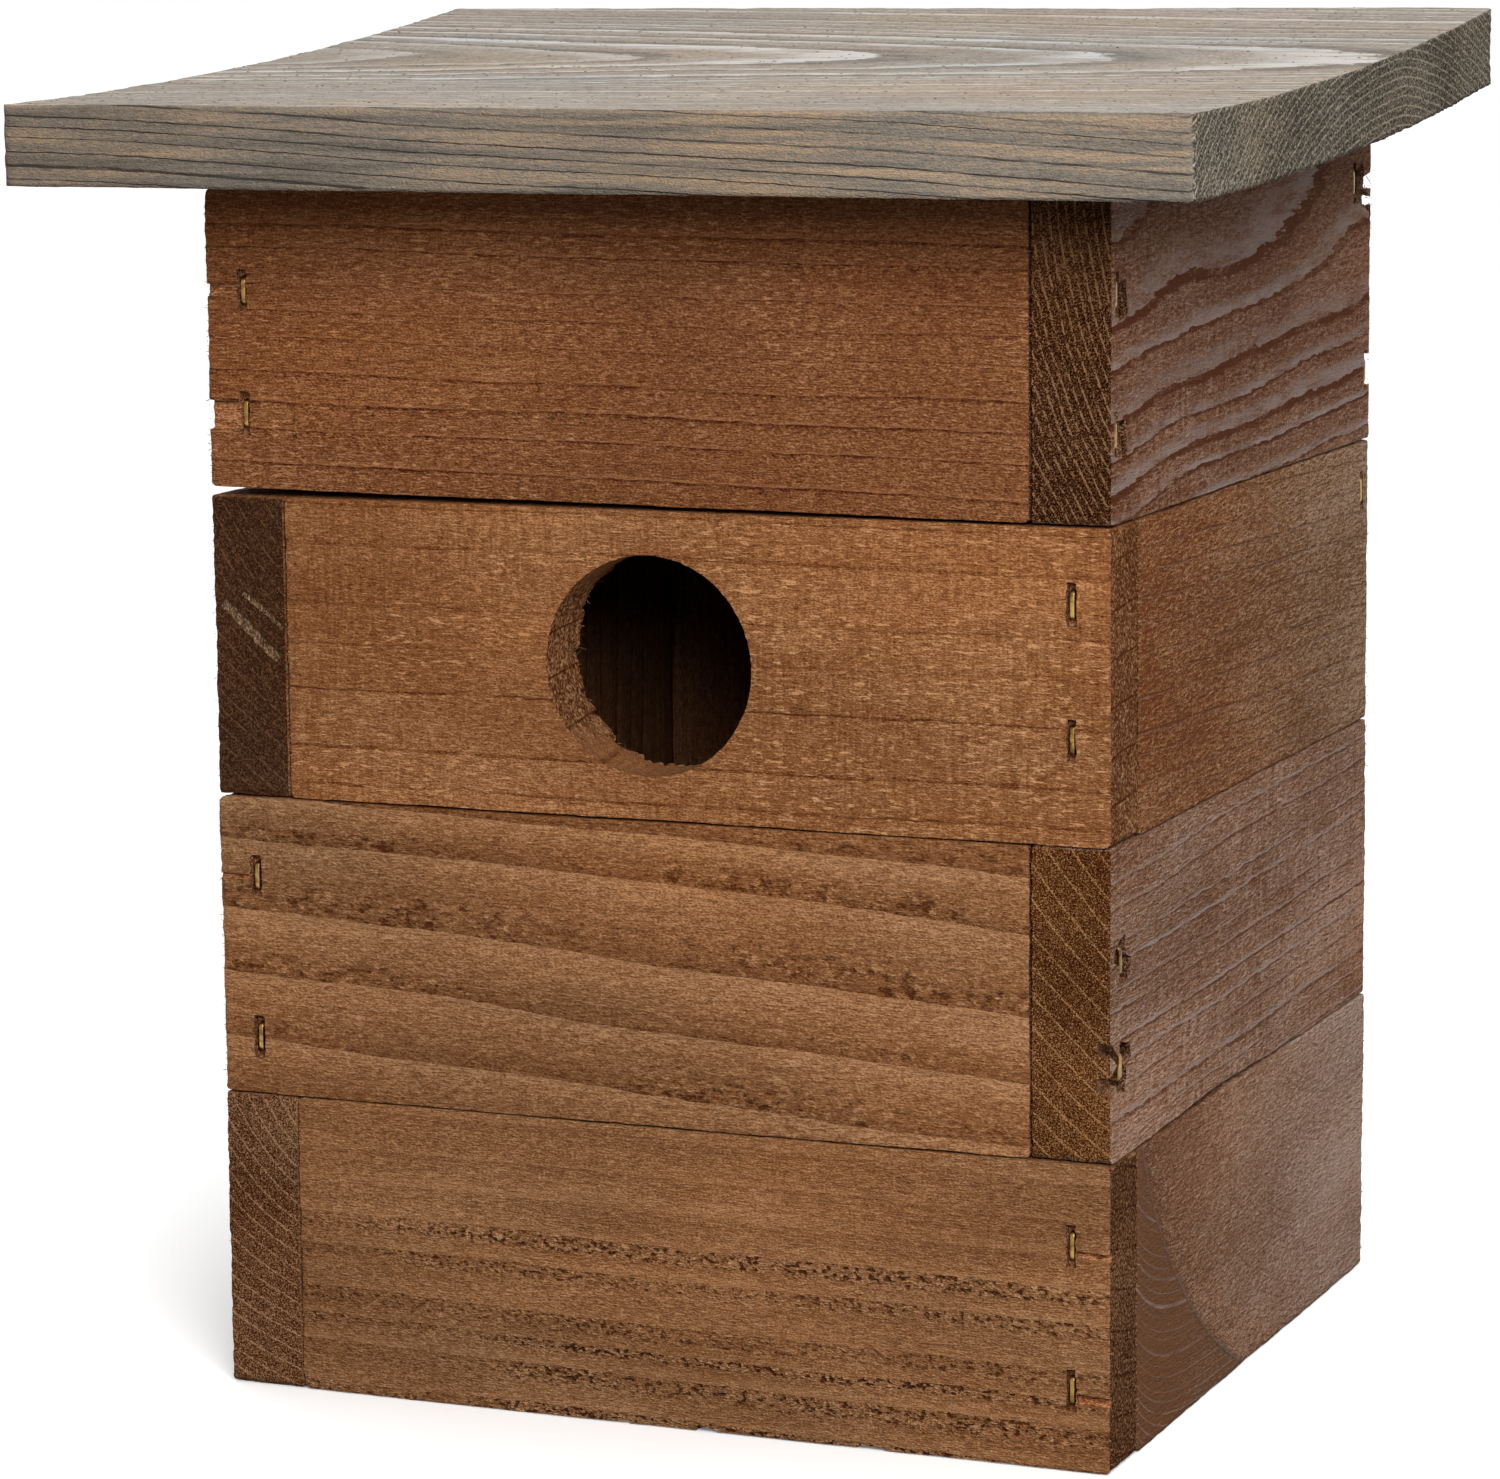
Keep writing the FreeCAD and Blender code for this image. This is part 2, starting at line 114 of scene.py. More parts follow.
class Bench:
    """Adds nodes to one tree and gives back the sockets that they make."""

    def __init__(self, tree):
        self.tree = tree

    def feed(self, socket, value):
        """Links a socket to another one, or sets its own value."""
        if isinstance(value, bpy.types.NodeSocket):
            self.tree.links.new(value, socket)
        else:
            socket.default_value = value

    def node(self, kind, inputs=None, out=0, **settings):
        """Adds a node, feeds its inputs and gives one of its outputs."""
        made = self.tree.nodes.new(kind)
        for key, value in settings.items():
            setattr(made, key, value)
        for key, value in (inputs or {}).items():
            self.feed(made.inputs[key], value)
        return made.outputs[out]

    def math(self, operation, *values, clamp=False):
        return self.node("ShaderNodeMath", dict(enumerate(values)), operation=operation, use_clamp=clamp)

    def plus(self, first, second):
        return self.math("ADD", first, second)

    def minus(self, first, second):
        return self.math("SUBTRACT", first, second)

    def times(self, first, second, clamp=False):
        return self.math("MULTIPLY", first, second, clamp=clamp)

    def over(self, first, second):
        return self.math("DIVIDE", first, second)

    def times_plus(self, first, second, third):
        return self.math("MULTIPLY_ADD", first, second, third)

    def total(self, *terms):
        """The sum of terms, each a (weight, socket) pair; a weight may be a socket too."""
        summed = 0.0
        for weight, socket in terms:
            summed = self.times_plus(socket, weight, summed)
        return summed

    def vector(self, operation, *values):
        out = 1 if operation in ("LENGTH", "DOT_PRODUCT", "DISTANCE") else 0
        return self.node("ShaderNodeVectorMath", dict(enumerate(values)), out, operation=operation)

    def scaled(self, vector, factor):
        return self.node("ShaderNodeVectorMath", {0: vector, 3: factor}, operation="SCALE")

    def parts(self, vector):
        """The three numbers of a vector."""
        return self.node("ShaderNodeSeparateXYZ", {0: vector}).node.outputs

    def joined(self, first, second, third):
        """A vector of three numbers."""
        return self.node("ShaderNodeCombineXYZ", {0: first, 1: second, 2: third})

    def step(self, value, start, end, low=0.0, high=1.0):
        """A soft step from low to high while the value goes from start to end."""
        inputs = {0: value, 1: start, 2: end, 3: low, 4: high}
        return self.node("ShaderNodeMapRange", inputs, interpolation_type="SMOOTHSTEP")

    def noise(self, place, cells, seed, detail=2.0, out=0):
        """Noise with that many cells in a unit of length, as one number or one for each axis."""
        cells = (cells,) * 3 if isinstance(cells, float) else cells
        place = self.vector("MULTIPLY", place, cells)
        inputs = {"Vector": place, "W": seed, "Scale": 1.0, "Detail": detail}
        return self.node("ShaderNodeTexNoise", inputs, out, noise_dimensions="4D")

    def mixed(self, factor, first, second):
        """A colour between two others."""
        inputs = {0: factor, 6: first, 7: second}
        return self.node("ShaderNodeMix", inputs, 2, data_type="RGBA", clamp_factor=True)


print("bench ready")

# %% [markdown]
# Every group of nodes is set up in the same way: named inputs, named outputs and the wiring between
# them. Colours are read off a screen, but shaders count in linear light, so they are turned into that.

# %% Node groups and colours


def new_tree(name, kind, inputs, outputs, lay_out):
    """A node group whose wiring comes from a function of a bench and the inputs by name."""
    tree = bpy.data.node_groups.new(name, kind)
    for label, sort, default in inputs:
        socket = tree.interface.new_socket(name=label, in_out="INPUT", socket_type="NodeSocket" + sort)
        if default is not None:
            socket.default_value = default
    for label, sort in outputs:
        tree.interface.new_socket(name=label, in_out="OUTPUT", socket_type="NodeSocket" + sort)
    entry = tree.nodes.new("NodeGroupInput")
    leave = tree.nodes.new("NodeGroupOutput")
    given = {socket.name: socket for socket in entry.outputs if socket.name}
    for socket, result in zip(leave.inputs, lay_out(Bench(tree), given)):
        tree.links.new(result, socket)
    print(name, "tree has", len(tree.nodes), "nodes")
    return tree


def paint(red, green, blue):
    """A colour as read from a screen, 0 to 255, turned into the linear values that shaders use."""
    shown = (red / 255, green / 255, blue / 255)
    linear = [c / 12.92 if c <= 0.04045 else ((c + 0.055) / 1.055) ** 2.4 for c in shown]
    return (*linear, 1.0)


print("mid grey in linear light:", round(paint(128, 128, 128)[0], 3))

# %% [markdown]
# ## Light
# The box stands in plain studio light. The main lamp is a soft box in front of it and to its right, not
# far above it, so that the roof throws only a short shadow on the front and the right side is dimmer.
# A broad lamp overhead lights the roof.

# %% Lamps
FULL_LIGHT = math.pi            # sunlight, in watts per square metre, that shows a colour as it is written
object_middle = (cad_low + cad_high) / 2


def aimed(name, data, direction, distance):
    """Puts a lamp out along a direction from the middle of the box, looking back at it."""
    lamp = bpy.data.objects.new(name, data)
    towards = Vector(direction).normalized()
    lamp.location = object_middle + towards * distance
    lamp.rotation_mode = "QUATERNION"
    lamp.rotation_quaternion = towards.to_track_quat("Z", "Y")
    bpy.context.scene.collection.objects.link(lamp)


def soft_box(name, direction, distance, size, level):
    """A square lamp that gives the middle of the box that level of light."""
    data = bpy.data.lights.new(name, "AREA")
    data.size = size
    data.energy = FULL_LIGHT * math.pi * distance ** 2 * level
    aimed(name, data, direction, distance)


def sky_light(name, direction, spread, level):
    """Light that falls alike on the box and on the whole floor, softened over an angle."""
    data = bpy.data.lights.new(name, "SUN")
    data.energy = FULL_LIGHT * level
    data.angle = math.radians(spread)
    aimed(name, data, direction, 1.0)


soft_box("front_lamp", direction=(0.52, -0.80, 0.43), distance=0.82, size=0.36, level=1.08)
sky_light("top_lamp", direction=(-0.05, 0.25, 1.0), spread=70, level=0.75)
print("lamps:", [lamp.name for lamp in bpy.data.lights])

# %% [markdown]
# An even grey world fills the shadows, and what the camera sees of it is white. The white ground is the
# floor's colour as the camera sees it, with a little glow; the light that the floor throws back on the
# box comes from a much darker grey, so that the box isn't lit from below.

# %% Backdrop and floor
WHITE = (1, 1, 1, 1)
WORLD_FILL = 0.16               # strength of the world as a lamp, where 1 is what the camera sees
FLOOR_BOUNCE = (0.14, 0.14, 0.14, 1)
FLOOR_LIFT = 0.14               # how much whiter than its light the camera sees the floor
FLOOR_REACH = 6.0


def seen_directly(bench):
    """One for what the camera sees, also in a mirror or through glass, and nought for bounced light."""
    path = bench.tree.nodes.new("ShaderNodeLightPath")
    seen = bench.math("MAXIMUM", path.outputs["Is Camera Ray"], path.outputs["Is Glossy Ray"])
    return bench.math("MAXIMUM", seen, path.outputs["Is Transmission Ray"])


world = bpy.data.worlds.new("studio")
world.use_nodes = True
world_bench = Bench(world.node_tree)
backdrop = world.node_tree.nodes["Background"]
backdrop.inputs["Color"].default_value = WHITE
world_level = world_bench.step(seen_directly(world_bench), 0, 1, WORLD_FILL, 1.0)
world_bench.feed(backdrop.inputs["Strength"], world_level)
bpy.context.scene.world = world
bpy.context.scene.view_settings.view_transform = "Standard"

floor_finish = bpy.data.materials.new("studio_floor")
floor_finish.use_nodes = True
floor_bench = Bench(floor_finish.node_tree)
floor_shader = floor_finish.node_tree.nodes["Principled BSDF"]
floor_shader.inputs["Roughness"].default_value = 1.0
floor_shader.inputs["Specular IOR Level"].default_value = 0.0
floor_shader.inputs["Emission Color"].default_value = WHITE
floor_seen = seen_directly(floor_bench)
floor_bench.feed(floor_shader.inputs["Base Color"], floor_bench.mixed(floor_seen, FLOOR_BOUNCE, WHITE))
floor_bench.feed(floor_shader.inputs["Emission Strength"], floor_bench.times(floor_seen, FLOOR_LIFT))
floor_mesh = bpy.data.meshes.new("studio_floor")
floor_signs = [(-1, -1), (1, -1), (1, 1), (-1, 1)]
floor_corners = [(x * FLOOR_REACH, y * FLOOR_REACH, cad_low.z) for x, y in floor_signs]
floor_mesh.from_pydata(floor_corners, [], [(0, 1, 2, 3)])
floor_mesh.materials.append(floor_finish)
floor = bpy.data.objects.new("studio_floor", floor_mesh)
bpy.context.scene.collection.objects.link(floor)
print("studio lit, floor", FLOOR_REACH * 2, "m wide")

# %% [markdown]
# ## Sawn wood as one recipe
# Wood could be painted face by face, but then the lines on a board's face and on its end would not
# meet. Instead the recipe works in the board's own solid: yearly rings are shells about a pith line
# somewhere beside the board, and whatever surface cuts them shows lines, flames or arches. To this
# it adds what the saw leaves: fine fibres along the grain, ripples across it and torn pits where the
# soft early wood was plucked out. Hard late wood stays smooth, so it also shines more at a flat angle.
# The end of a board drinks more stain, so it has its own colours. What differs from board to board is
# an input of the recipe, and lengths among them are in millimetres.

# %% What the sawn wood is given
wood_numbers = {
    "End": 0.0, "Taper": 0.0, "Knot Rise": 0.0, "Knot Reach": 60.0, "Clean Beyond": 1000.0,
    "Ring Spacing": 3.0, "End Spacing": 2.0, "Wobble": 3.0, "Shiver": 0.7, "Line": 0.0, "Line Width": 0.1,
    "Ridge": 0.0, "Ridge Width": 0.1, "Band": 0.0, "Tear": 0.0, "Tear Reach": 0.4, "Tear Below": 100.0,
    "Tear Size": 1.0, "Fleck": 0.0, "Fuzz": 0.5, "Coarse": 1.0, "Relief": 0.1, "Saw": 0.2,
    "Saw Pitch": 0.5, "Streak": 0.3, "Mottle": 0.4, "Warmth": 0.0, "Fade": 0.0, "End Ring": 0.3,
    "End Dash": 0.35, "End Coarse": 1.0, "Seed": 0.0}
wood_colours = ("Face Dark", "Face", "Face Light", "Smooth", "End Dark", "End Face", "End Light")
wood_inputs = [(label, "Vector", (0, 0, 0)) for label in ("Place", "Pith", "Knot")]
wood_inputs += [(label, "Float", value) for label, value in wood_numbers.items()]
wood_inputs += [(label, "Color", None) for label in wood_colours]
wood_outputs = [("Color", "Color"), ("Roughness", "Float"), ("Height", "Float")]


class WoodBench(Bench):
    """A bench for a solid of wood, whose noises all read one place and one seed."""

    def keep(self, **found):
        """Keeps sockets under their names for the steps that follow."""
        for name, socket in found.items():
            setattr(self, name, socket)

    def drift(self, cells, detail=2.0, at=None):
        """Noise about nought, with cells per millimetre along, through and up the board."""
        at = self.given["Place"] if at is None else at
        return self.minus(self.noise(at, cells, self.given["Seed"], detail), 0.5)

    def patches(self, cells, start, end, other=0.0, at=None):
        """Nought and one in soft-edged patches, other ones for another number."""
        at = self.given["Place"] if at is None else at
        seed = self.plus(self.given["Seed"], other)
        return self.step(self.noise(at, cells, seed), start, end)

    def enlarged(self, size):
        """The place, drawn together so that what is read there comes out that many times larger."""
        return self.scaled(self.given["Place"], self.over(1.0, size))

    def three_tone(self, value, dark, middle, light):
        """Three of the given colours: dark at nought, middle at a half and light at one."""
        lower = self.mixed(self.times(value, 2.0, clamp=True), self.given[dark], self.given[middle])
        upper = self.math("MULTIPLY_ADD", value, 2.0, -1.0, clamp=True)
        return self.mixed(upper, lower, self.given[light])


print("sawn wood takes", len(wood_inputs), "inputs")

# %% [markdown]
# First come the yearly rings. The distance from the pith says which ring a place lies in, after slow
# wandering, the taper of the log and the pull of a knot. Each year has its own strength, and it comes
# and goes along the grain. Beyond one ring the grain may swoop up towards the front edge of a board,
# as it does beside a branch.

# %% Yearly rings
WANDER_CELLS = (0.011, 0.03, 0.03)
SHIVER_CELLS = (0.25, 1.2, 1.2)
DASH_CELLS = (0.1, 0.5, 0.5)
CLEAN_FRONT, SWOOP_RISE, SWOOP_LENGTH = -64.0, 15.0, 10.0


def find_rings(wood):
    """Finds how far on in its year each place is, and how strongly that year shows."""
    given = wood.given
    place, seed = given["Place"], given["Seed"]
    along, _, upward = wood.parts(place)
    wander = wood.noise(place, WANDER_CELLS, seed, out=1)
    wander = wood.scaled(wood.vector("SUBTRACT", wander, (0.5, 0.5, 0.5)), given["Wobble"])
    from_pith = wood.vector("SUBTRACT", wood.vector("ADD", place, wander), given["Pith"])
    radius = wood.vector("LENGTH", wood.vector("MULTIPLY", from_pith, (0, 1, 1)))
    radius = wood.times_plus(along, given["Taper"], radius)
    bend = wood.step(wood.vector("DISTANCE", place, given["Knot"]), 0, given["Knot Reach"], 1, 0)
    radius = wood.times_plus(bend, given["Knot Rise"], radius)

    beyond = wood.minus(radius, given["Clean Beyond"])
    swoop = wood.math("EXPONENT", wood.over(wood.minus(CLEAN_FRONT, along), SWOOP_LENGTH))
    swoop = wood.minus(wood.times(swoop, SWOOP_RISE), upward)
    swoop = wood.times(wood.step(beyond, -1, 1), wood.minus(swoop, radius))
    shivered = wood.times_plus(wood.drift(SHIVER_CELLS), given["Shiver"], radius)
    ring = wood.over(wood.plus(shivered, swoop), given["Ring Spacing"])
    inputs = {"W": wood.plus(ring, seed), "Scale": 0.7, "Detail": 1.0}
    ring = wood.plus(ring, wood.node("ShaderNodeTexNoise", inputs, noise_dimensions="1D"))

    year = wood.plus(wood.math("FLOOR", ring), seed)
    strength = wood.node("ShaderNodeTexWhiteNoise", {"W": year}, noise_dimensions="1D")
    wood.keep(along=along, upward=upward, radius=radius, beyond=beyond)
    wood.keep(age=wood.math("FRACT", ring), strength=wood.times_plus(strength, 0.8, 0.4))
    wood.keep(dash=wood.times_plus(wood.patches(DASH_CELLS, 0.36, 0.6), 0.65, 0.35))


print("rings wander over about", round(1 / WANDER_CELLS[0]), "mm of length")

# %% [markdown]
# A dark line starts each year and a smooth ridge of late wood ends it. The line is partly the ring's own
# darker wood and partly painted shadow at the step beside the ridge; the ridge's paler tone is partly its
# own wood and partly painted highlight and sheen. Where the grain swoops, the saw met it at another slant
# and left it clean, with a pale rim and a rougher patch before it. Tears follow the dark lines: pits where
# wood was plucked out, and paler shreds beside them.

# %% Lines, ridges and tears
LINE_CORE = 0.35                # the part of a line's width that is fully dark
TEAR_CORE = 0.5
CLEAN_FROM, CLEAN_FULL = -2.5, 1.5  # millimetres beyond the ring where the clean wood starts
ROUGH_FROM, ROUGH_FULL = -16, -4
RIM_HALF, RIM_FADED, RIM_STRENGTH = 0.2, 0.8, 0.45
TEAR_FADE = 3
TEAR_CELLS = (0.022, 0.05, 0.05)
PIT_CELLS = (0.5, 0.75, 0.75)
SHRED_CELLS = (0.75, 1.4, 1.4)


def find_lines(wood):
    """Finds the lines and ridges of each year, the clean wood and the rough wood before it."""
    given = wood.given
    shown = wood.times(wood.strength, wood.dash)
    line_core = wood.times(given["Line Width"], LINE_CORE)
    line = wood.times(wood.step(wood.age, line_core, given["Line Width"], 1, 0), shown)
    ridge = wood.step(wood.age, wood.minus(1.0, given["Ridge Width"]), 1.0)
    ridge = wood.times(wood.times(ridge, shown), given["Ridge"], clamp=True)
    clean = wood.step(wood.beyond, CLEAN_FROM, CLEAN_FULL)
    before = wood.times(wood.step(wood.beyond, ROUGH_FROM, ROUGH_FULL), wood.minus(1.0, clean))
    rim = wood.step(wood.math("ABSOLUTE", wood.beyond), RIM_HALF, RIM_FADED, RIM_STRENGTH, 0)
    stronger = wood.times(ridge, wood.times_plus(clean, 2.0, 1.0))
    ridge = wood.math("MAXIMUM", stronger, wood.times(rim, wood.dash))
    wood.keep(line=line, ridge=ridge, clean=clean, before=before)


def find_tears(wood):
    """Finds the torn pits and the shreds between them."""
    given = wood.given
    torn = wood.step(wood.age, wood.times(given["Tear Reach"], TEAR_CORE), given["Tear Reach"], 1, 0)
    torn = wood.times(wood.times(torn, wood.strength), given["Tear"])
    torn = wood.times(torn, wood.patches(TEAR_CELLS, 0.3, 0.56, 3.0))
    above = wood.minus(wood.upward, given["Tear Below"])
    torn = wood.times(torn, wood.step(above, -TEAR_FADE, TEAR_FADE, 1, 0))
    place = wood.enlarged(given["Tear Size"])
    pit = wood.times(torn, wood.patches(PIT_CELLS, 0.5, 0.68, 0.0, place))
    shred = wood.times(torn, wood.patches(SHRED_CELLS, 0.5, 0.66, 5.0, place))
    wood.keep(pit=pit, shred=shred)


print("pits are about", 1 / PIT_CELLS[0], "mm long")

# %% [markdown]
# Then comes what the saw leaves: fibres and specks that make the nap, lumps that are painted lighter on
# their upper sides and darker below as painted shade, ripples across the grain and pale flecks where fibres
# stand up. Slow noises add mottled stain and long streaks.

# %% Marks of the saw
MOTTLE_CELLS, STREAK_CELLS = (0.02, 0.05, 0.05), (0.03, 0.9, 0.9)
FIBRE_CELLS, SPECK_CELLS, LUMP_CELLS = (0.65, 4.4, 4.4), (2.6, 5.0, 5.0), (0.5, 1.5, 1.5)
FLECK_CELLS, FLECKED_CELLS, RIPPLED_CELLS = (0.5, 2.4, 2.4), (0.03, 0.07, 0.07), (0.02, 0.04, 0.04)
# how far from a lump, mostly below it, its painted shade is read, in millimetres
UNDER_LUMP = (0.35, 0, -0.3)


def find_saw_marks(wood):
    """Finds nap, lumps, ripples and flecks, and the slow changes of the stain."""
    given = wood.given
    coarse = wood.enlarged(given["Coarse"])
    fibre = wood.drift(FIBRE_CELLS, 2.0, coarse)
    speck = wood.drift(SPECK_CELLS, 1.0, coarse)
    lump = wood.drift(LUMP_CELLS, 3.0)
    lump_below = wood.drift(LUMP_CELLS, 3.0, wood.vector("ADD", given["Place"], UNDER_LUMP))
    kept = wood.plus(wood.total((-0.25, wood.clean), (0.7, wood.before)), 1.0)
    nap = wood.times(wood.total((2.1, fibre), (2.4, speck)), kept)
    swell = wood.times(wood.total((2.4, lump), (1.0, nap)), kept)
    # painted light and shade: each lump's upper side is made lighter and the side below it darker, as much
    # as the relief
    gathered = wood.times(wood.minus(lump, lump_below), given["Relief"])
    saw_cells = wood.joined(wood.over(1.0, given["Saw Pitch"]), 0.1, 0.22)
    ripple = wood.times(wood.drift(saw_cells), wood.patches(RIPPLED_CELLS, 0.3, 0.6, 4.0))
    flecked = wood.patches(FLECKED_CELLS, 0.4, 0.6, 7.0)
    fleck = wood.times(wood.patches(FLECK_CELLS, 0.55, 0.7, 9.0, coarse), flecked)
    wood.keep(fibre=fibre, speck=speck, nap=nap, swell=swell, gathered=gathered, ripple=ripple)
    wood.keep(fleck=wood.times(fleck, given["Fleck"]))
    wood.keep(mottle=wood.drift(MOTTLE_CELLS), streak=wood.drift(STREAK_CELLS, 3.0))


print("fibres are about", round(1 / FIBRE_CELLS[0], 1), "mm long")

# %% [markdown]
# All of this lightens or darkens the stain, the lumps' shading as painted light and shade. On a face, the
# smooth ridges then take their own paler tone, partly a painted sheen. On an end, the rings are thin pale
# lines among dark, open pores.

# %% Stain on faces and ends
END_DASH_CELLS, PORE_CELLS = (0.3, 0.9, 0.9), (0.5, 4.6, 4.6)
END_LINE_HALF, END_LINE_FADED = 0.05, 0.24
FACE_MIDDLE, END_MIDDLE = 0.5, 0.42


def face_colour(wood):
    """The stain on the faces and edges of a board, with painted light and shade on its lumps and a partly
    painted sheen on its smooth ridges.
    """
    given = wood.given
    minus_line = wood.times(given["Line"], -1.0)
    shade = wood.total(
        (given["Mottle"], wood.mottle), (given["Streak"], wood.streak), (given["Fuzz"], wood.nap),
        (given["Saw"], wood.ripple), (minus_line, wood.line), (given["Band"], wood.minus(wood.age, 0.5)),
        (-0.75, wood.pit), (0.5, wood.shred), (1.0, wood.fleck), (given["Fade"], wood.along),
        (-0.5, wood.clean), (0.12, wood.before), (3.0, wood.gathered))
    face = wood.three_tone(wood.plus(shade, FACE_MIDDLE), "Face Dark", "Face", "Face Light")
    return wood.mixed(wood.ridge, face, given["Smooth"])


def end_colour(wood):
    """The stain on the ends of a board."""
    given = wood.given
    off_line = wood.math("PINGPONG", wood.over(wood.radius, given["End Spacing"]), 0.5)
    off_line = wood.times(off_line, given["End Spacing"])
    end_line = wood.step(off_line, END_LINE_HALF, END_LINE_FADED, 1, 0)
    missing = wood.minus(wood.patches(END_DASH_CELLS, 0.34, 0.6), 1.0)
    end_line = wood.times(end_line, wood.times_plus(missing, given["End Dash"], 1.0))
    pore = wood.drift(PORE_CELLS, 2.0, wood.enlarged(given["End Coarse"]))
    wood.keep(end_line=end_line, pore=pore)
    shade = wood.total((given["End Ring"], end_line), (3.2, pore), (1.2, wood.speck), (0.8, wood.mottle))
    return wood.three_tone(wood.plus(shade, END_MIDDLE), "End Dark", "End Face", "End Light")


print("a face without marks takes the tone at", FACE_MIDDLE, "and an end the one at", END_MIDDLE)

# %% [markdown]
# The recipe puts these steps together. A slow drift between a cool and a warm tint keeps a board from
# looking painted. The height, in millimetres, feeds a Bump node later on.

# %% The sawn wood recipe
COOL_TINT, WARM_TINT = (0.90, 1.01, 1.13, 1), (1.10, 0.98, 0.84, 1)
HUE_CELLS = (0.012, 0.035, 0.035)
SAW_DEPTH, LINE_DEPTH = 0.16, -0.2
MIDDLE_ROUGHNESS = 0.84


def lay_out_wood(bench, given):
    """Wires rings, fibres, saw marks and tears into a colour, a roughness and a height in millimetres."""
    wood = WoodBench(bench.tree)
    wood.keep(given=given)
    find_rings(wood)
    find_lines(wood)
    find_tears(wood)
    find_saw_marks(wood)
    colour = wood.mixed(given["End"], face_colour(wood), end_colour(wood))
    hue = wood.total(
        (given["Warmth"], wood.along), (1.6, wood.drift(HUE_CELLS)), (0.8, wood.before), (-0.7, wood.clean))
    tint = wood.mixed(wood.plus(hue, 0.5), COOL_TINT, WARM_TINT)
    saw_depth = wood.times(given["Saw"], SAW_DEPTH)
    line_depth = wood.times(given["Line"], LINE_DEPTH)
    height = wood.total(
        (given["Relief"], wood.swell), (-0.5, wood.pit), (0.2, wood.shred), (0.12, wood.fleck),
        (saw_depth, wood.ripple), (line_depth, wood.line), (0.3, wood.ridge))
    end_height = wood.total((0.32, wood.pore), (0.2, wood.speck), (0.06, wood.end_line))
    height = wood.times_plus(given["End"], wood.minus(end_height, height), height)
    rough = wood.plus(wood.total((0.3, wood.fibre), (-0.42, wood.ridge)), MIDDLE_ROUGHNESS)
    return wood.vector("MULTIPLY", colour, tint), rough, height


sawn_wood = new_tree("Sawn wood", "ShaderNodeTree", wood_inputs, wood_outputs, lay_out_wood)

# %% [markdown]
# ## One wood for each board
# Every board came from a different place in a log, so each gets its own material: the same recipe
# with its own pith, ring spacing, colours and seed. Object coordinates are turned by a Mapping node
# so that the recipe always sees the grain along its first axis, in millimetres from the middle of
# the board. The end mask comes from the surface's own direction, in the object's axes, so that it
# stays right when the roof swings.

# %% Wood for a board
GRAIN_AXIS = {"x": Vector((1, 0, 0)), "y": Vector((0, 1, 0)), "z": Vector((0, 0, 1))}
GRAIN_TURN = {"x": Euler((0, 0, 0)), "y": Euler((0, 0, -math.pi / 2)), "z": Euler((0, math.pi / 2, 0))}
FACE_GLOSS, END_GLOSS = 0.1, 0.02
END_FROM, END_FULL = 0.55, 0.85  # how squarely a surface faces along the grain where it becomes an end


def board_wood(name, centre, grain, gloss=FACE_GLOSS, **looks):
    """A stained, sawn wood whose rings and fibres run along the grain axis of one board."""
    material = bpy.data.materials.new(name)
    material.use_nodes = True
    tree = material.node_tree
    bench = Bench(tree)
    where = tree.nodes.new("ShaderNodeTexCoord")
    turn = GRAIN_TURN[grain]
    shift = -(turn.to_matrix() @ Vector(centre)) / MM
    inputs = {"Vector": where.outputs["Object"], "Location": shift, "Rotation": turn}
    place = bench.node("ShaderNodeMapping", {**inputs, "Scale": (1 / MM,) * 3})
    facing = bench.vector("DOT_PRODUCT", where.outputs["Normal"], GRAIN_AXIS[grain])
    end = bench.step(bench.math("ABSOLUTE", facing), END_FROM, END_FULL)
    recipe = tree.nodes.new("ShaderNodeGroup")
    recipe.node_tree = sawn_wood
    bench.feed(recipe.inputs["Place"], place)
    bench.feed(recipe.inputs["End"], end)
    for key, value in looks.items():
        bench.feed(recipe.inputs[key.replace("_", " ").title()], value)
    shader = tree.nodes["Principled BSDF"]
    bench.feed(shader.inputs["Specular IOR Level"], bench.step(end, 0, 1, gloss, END_GLOSS))
    bench.feed(shader.inputs["Base Color"], recipe.outputs["Color"])
    bench.feed(shader.inputs["Roughness"], recipe.outputs["Roughness"])
    inputs = {"Strength": 1.0, "Distance": MM, "Height": recipe.outputs["Height"]}
    bench.feed(shader.inputs["Normal"], bench.node("ShaderNodeBump", inputs))
    return material


print("grain runs along", ", ".join(GRAIN_AXIS))

# %% [markdown]
# A stain is given as one colour for the faces and one for the ends. The darker and lighter tones follow
# from these: a brown stain loses less blue than red as it darkens, so each channel has its own share.

# %% Tones of a stain
STAIN_SHARES = (1.0, 0.94, 0.84)
FACE_DARKER, FACE_LIGHTER = -56, 58
END_DARKER, END_LIGHTER = -46, 66
# smooth late wood is painted lighter than the face, partly as painted sheen
SMOOTH_LIGHTER = 30
DARKEST = 4


def shifted(colour, step, shares=STAIN_SHARES):
    """A darker or lighter tone, by a step on the screen's scale of 255."""
    return paint(*(min(255, max(DARKEST, c + step * share)) for c, share in zip(colour, shares)))


def tones(face, end, smooth=None, shares=STAIN_SHARES):
    """Tones of a stain for a board's faces, for its smooth late wood with its painted sheen, and for its
    ends.
    """
    return {
        "face_dark": shifted(face, FACE_DARKER, shares),
        "face": paint(*face),
        "face_light": shifted(face, FACE_LIGHTER, shares),
        "smooth": paint(*smooth) if smooth else shifted(face, SMOOTH_LIGHTER),
        "end_dark": shifted(end, END_DARKER),
        "end_face": paint(*end),
        "end_light": shifted(end, END_LIGHTER)}


print("each stain has", len(tones(face=(128, 128, 128), end=(96, 96, 96))), "tones")

# %% [markdown]
# ## A sawn board from Geometry Nodes
# All the boards follow one rule: a fine block, its long edges eased, its corners a little rounder,
# its faces dipping where the saw wandered and its ends ragged. A tree with named inputs makes any
# of them. Everything it does goes inwards, so a board never leaves the space of its solid.

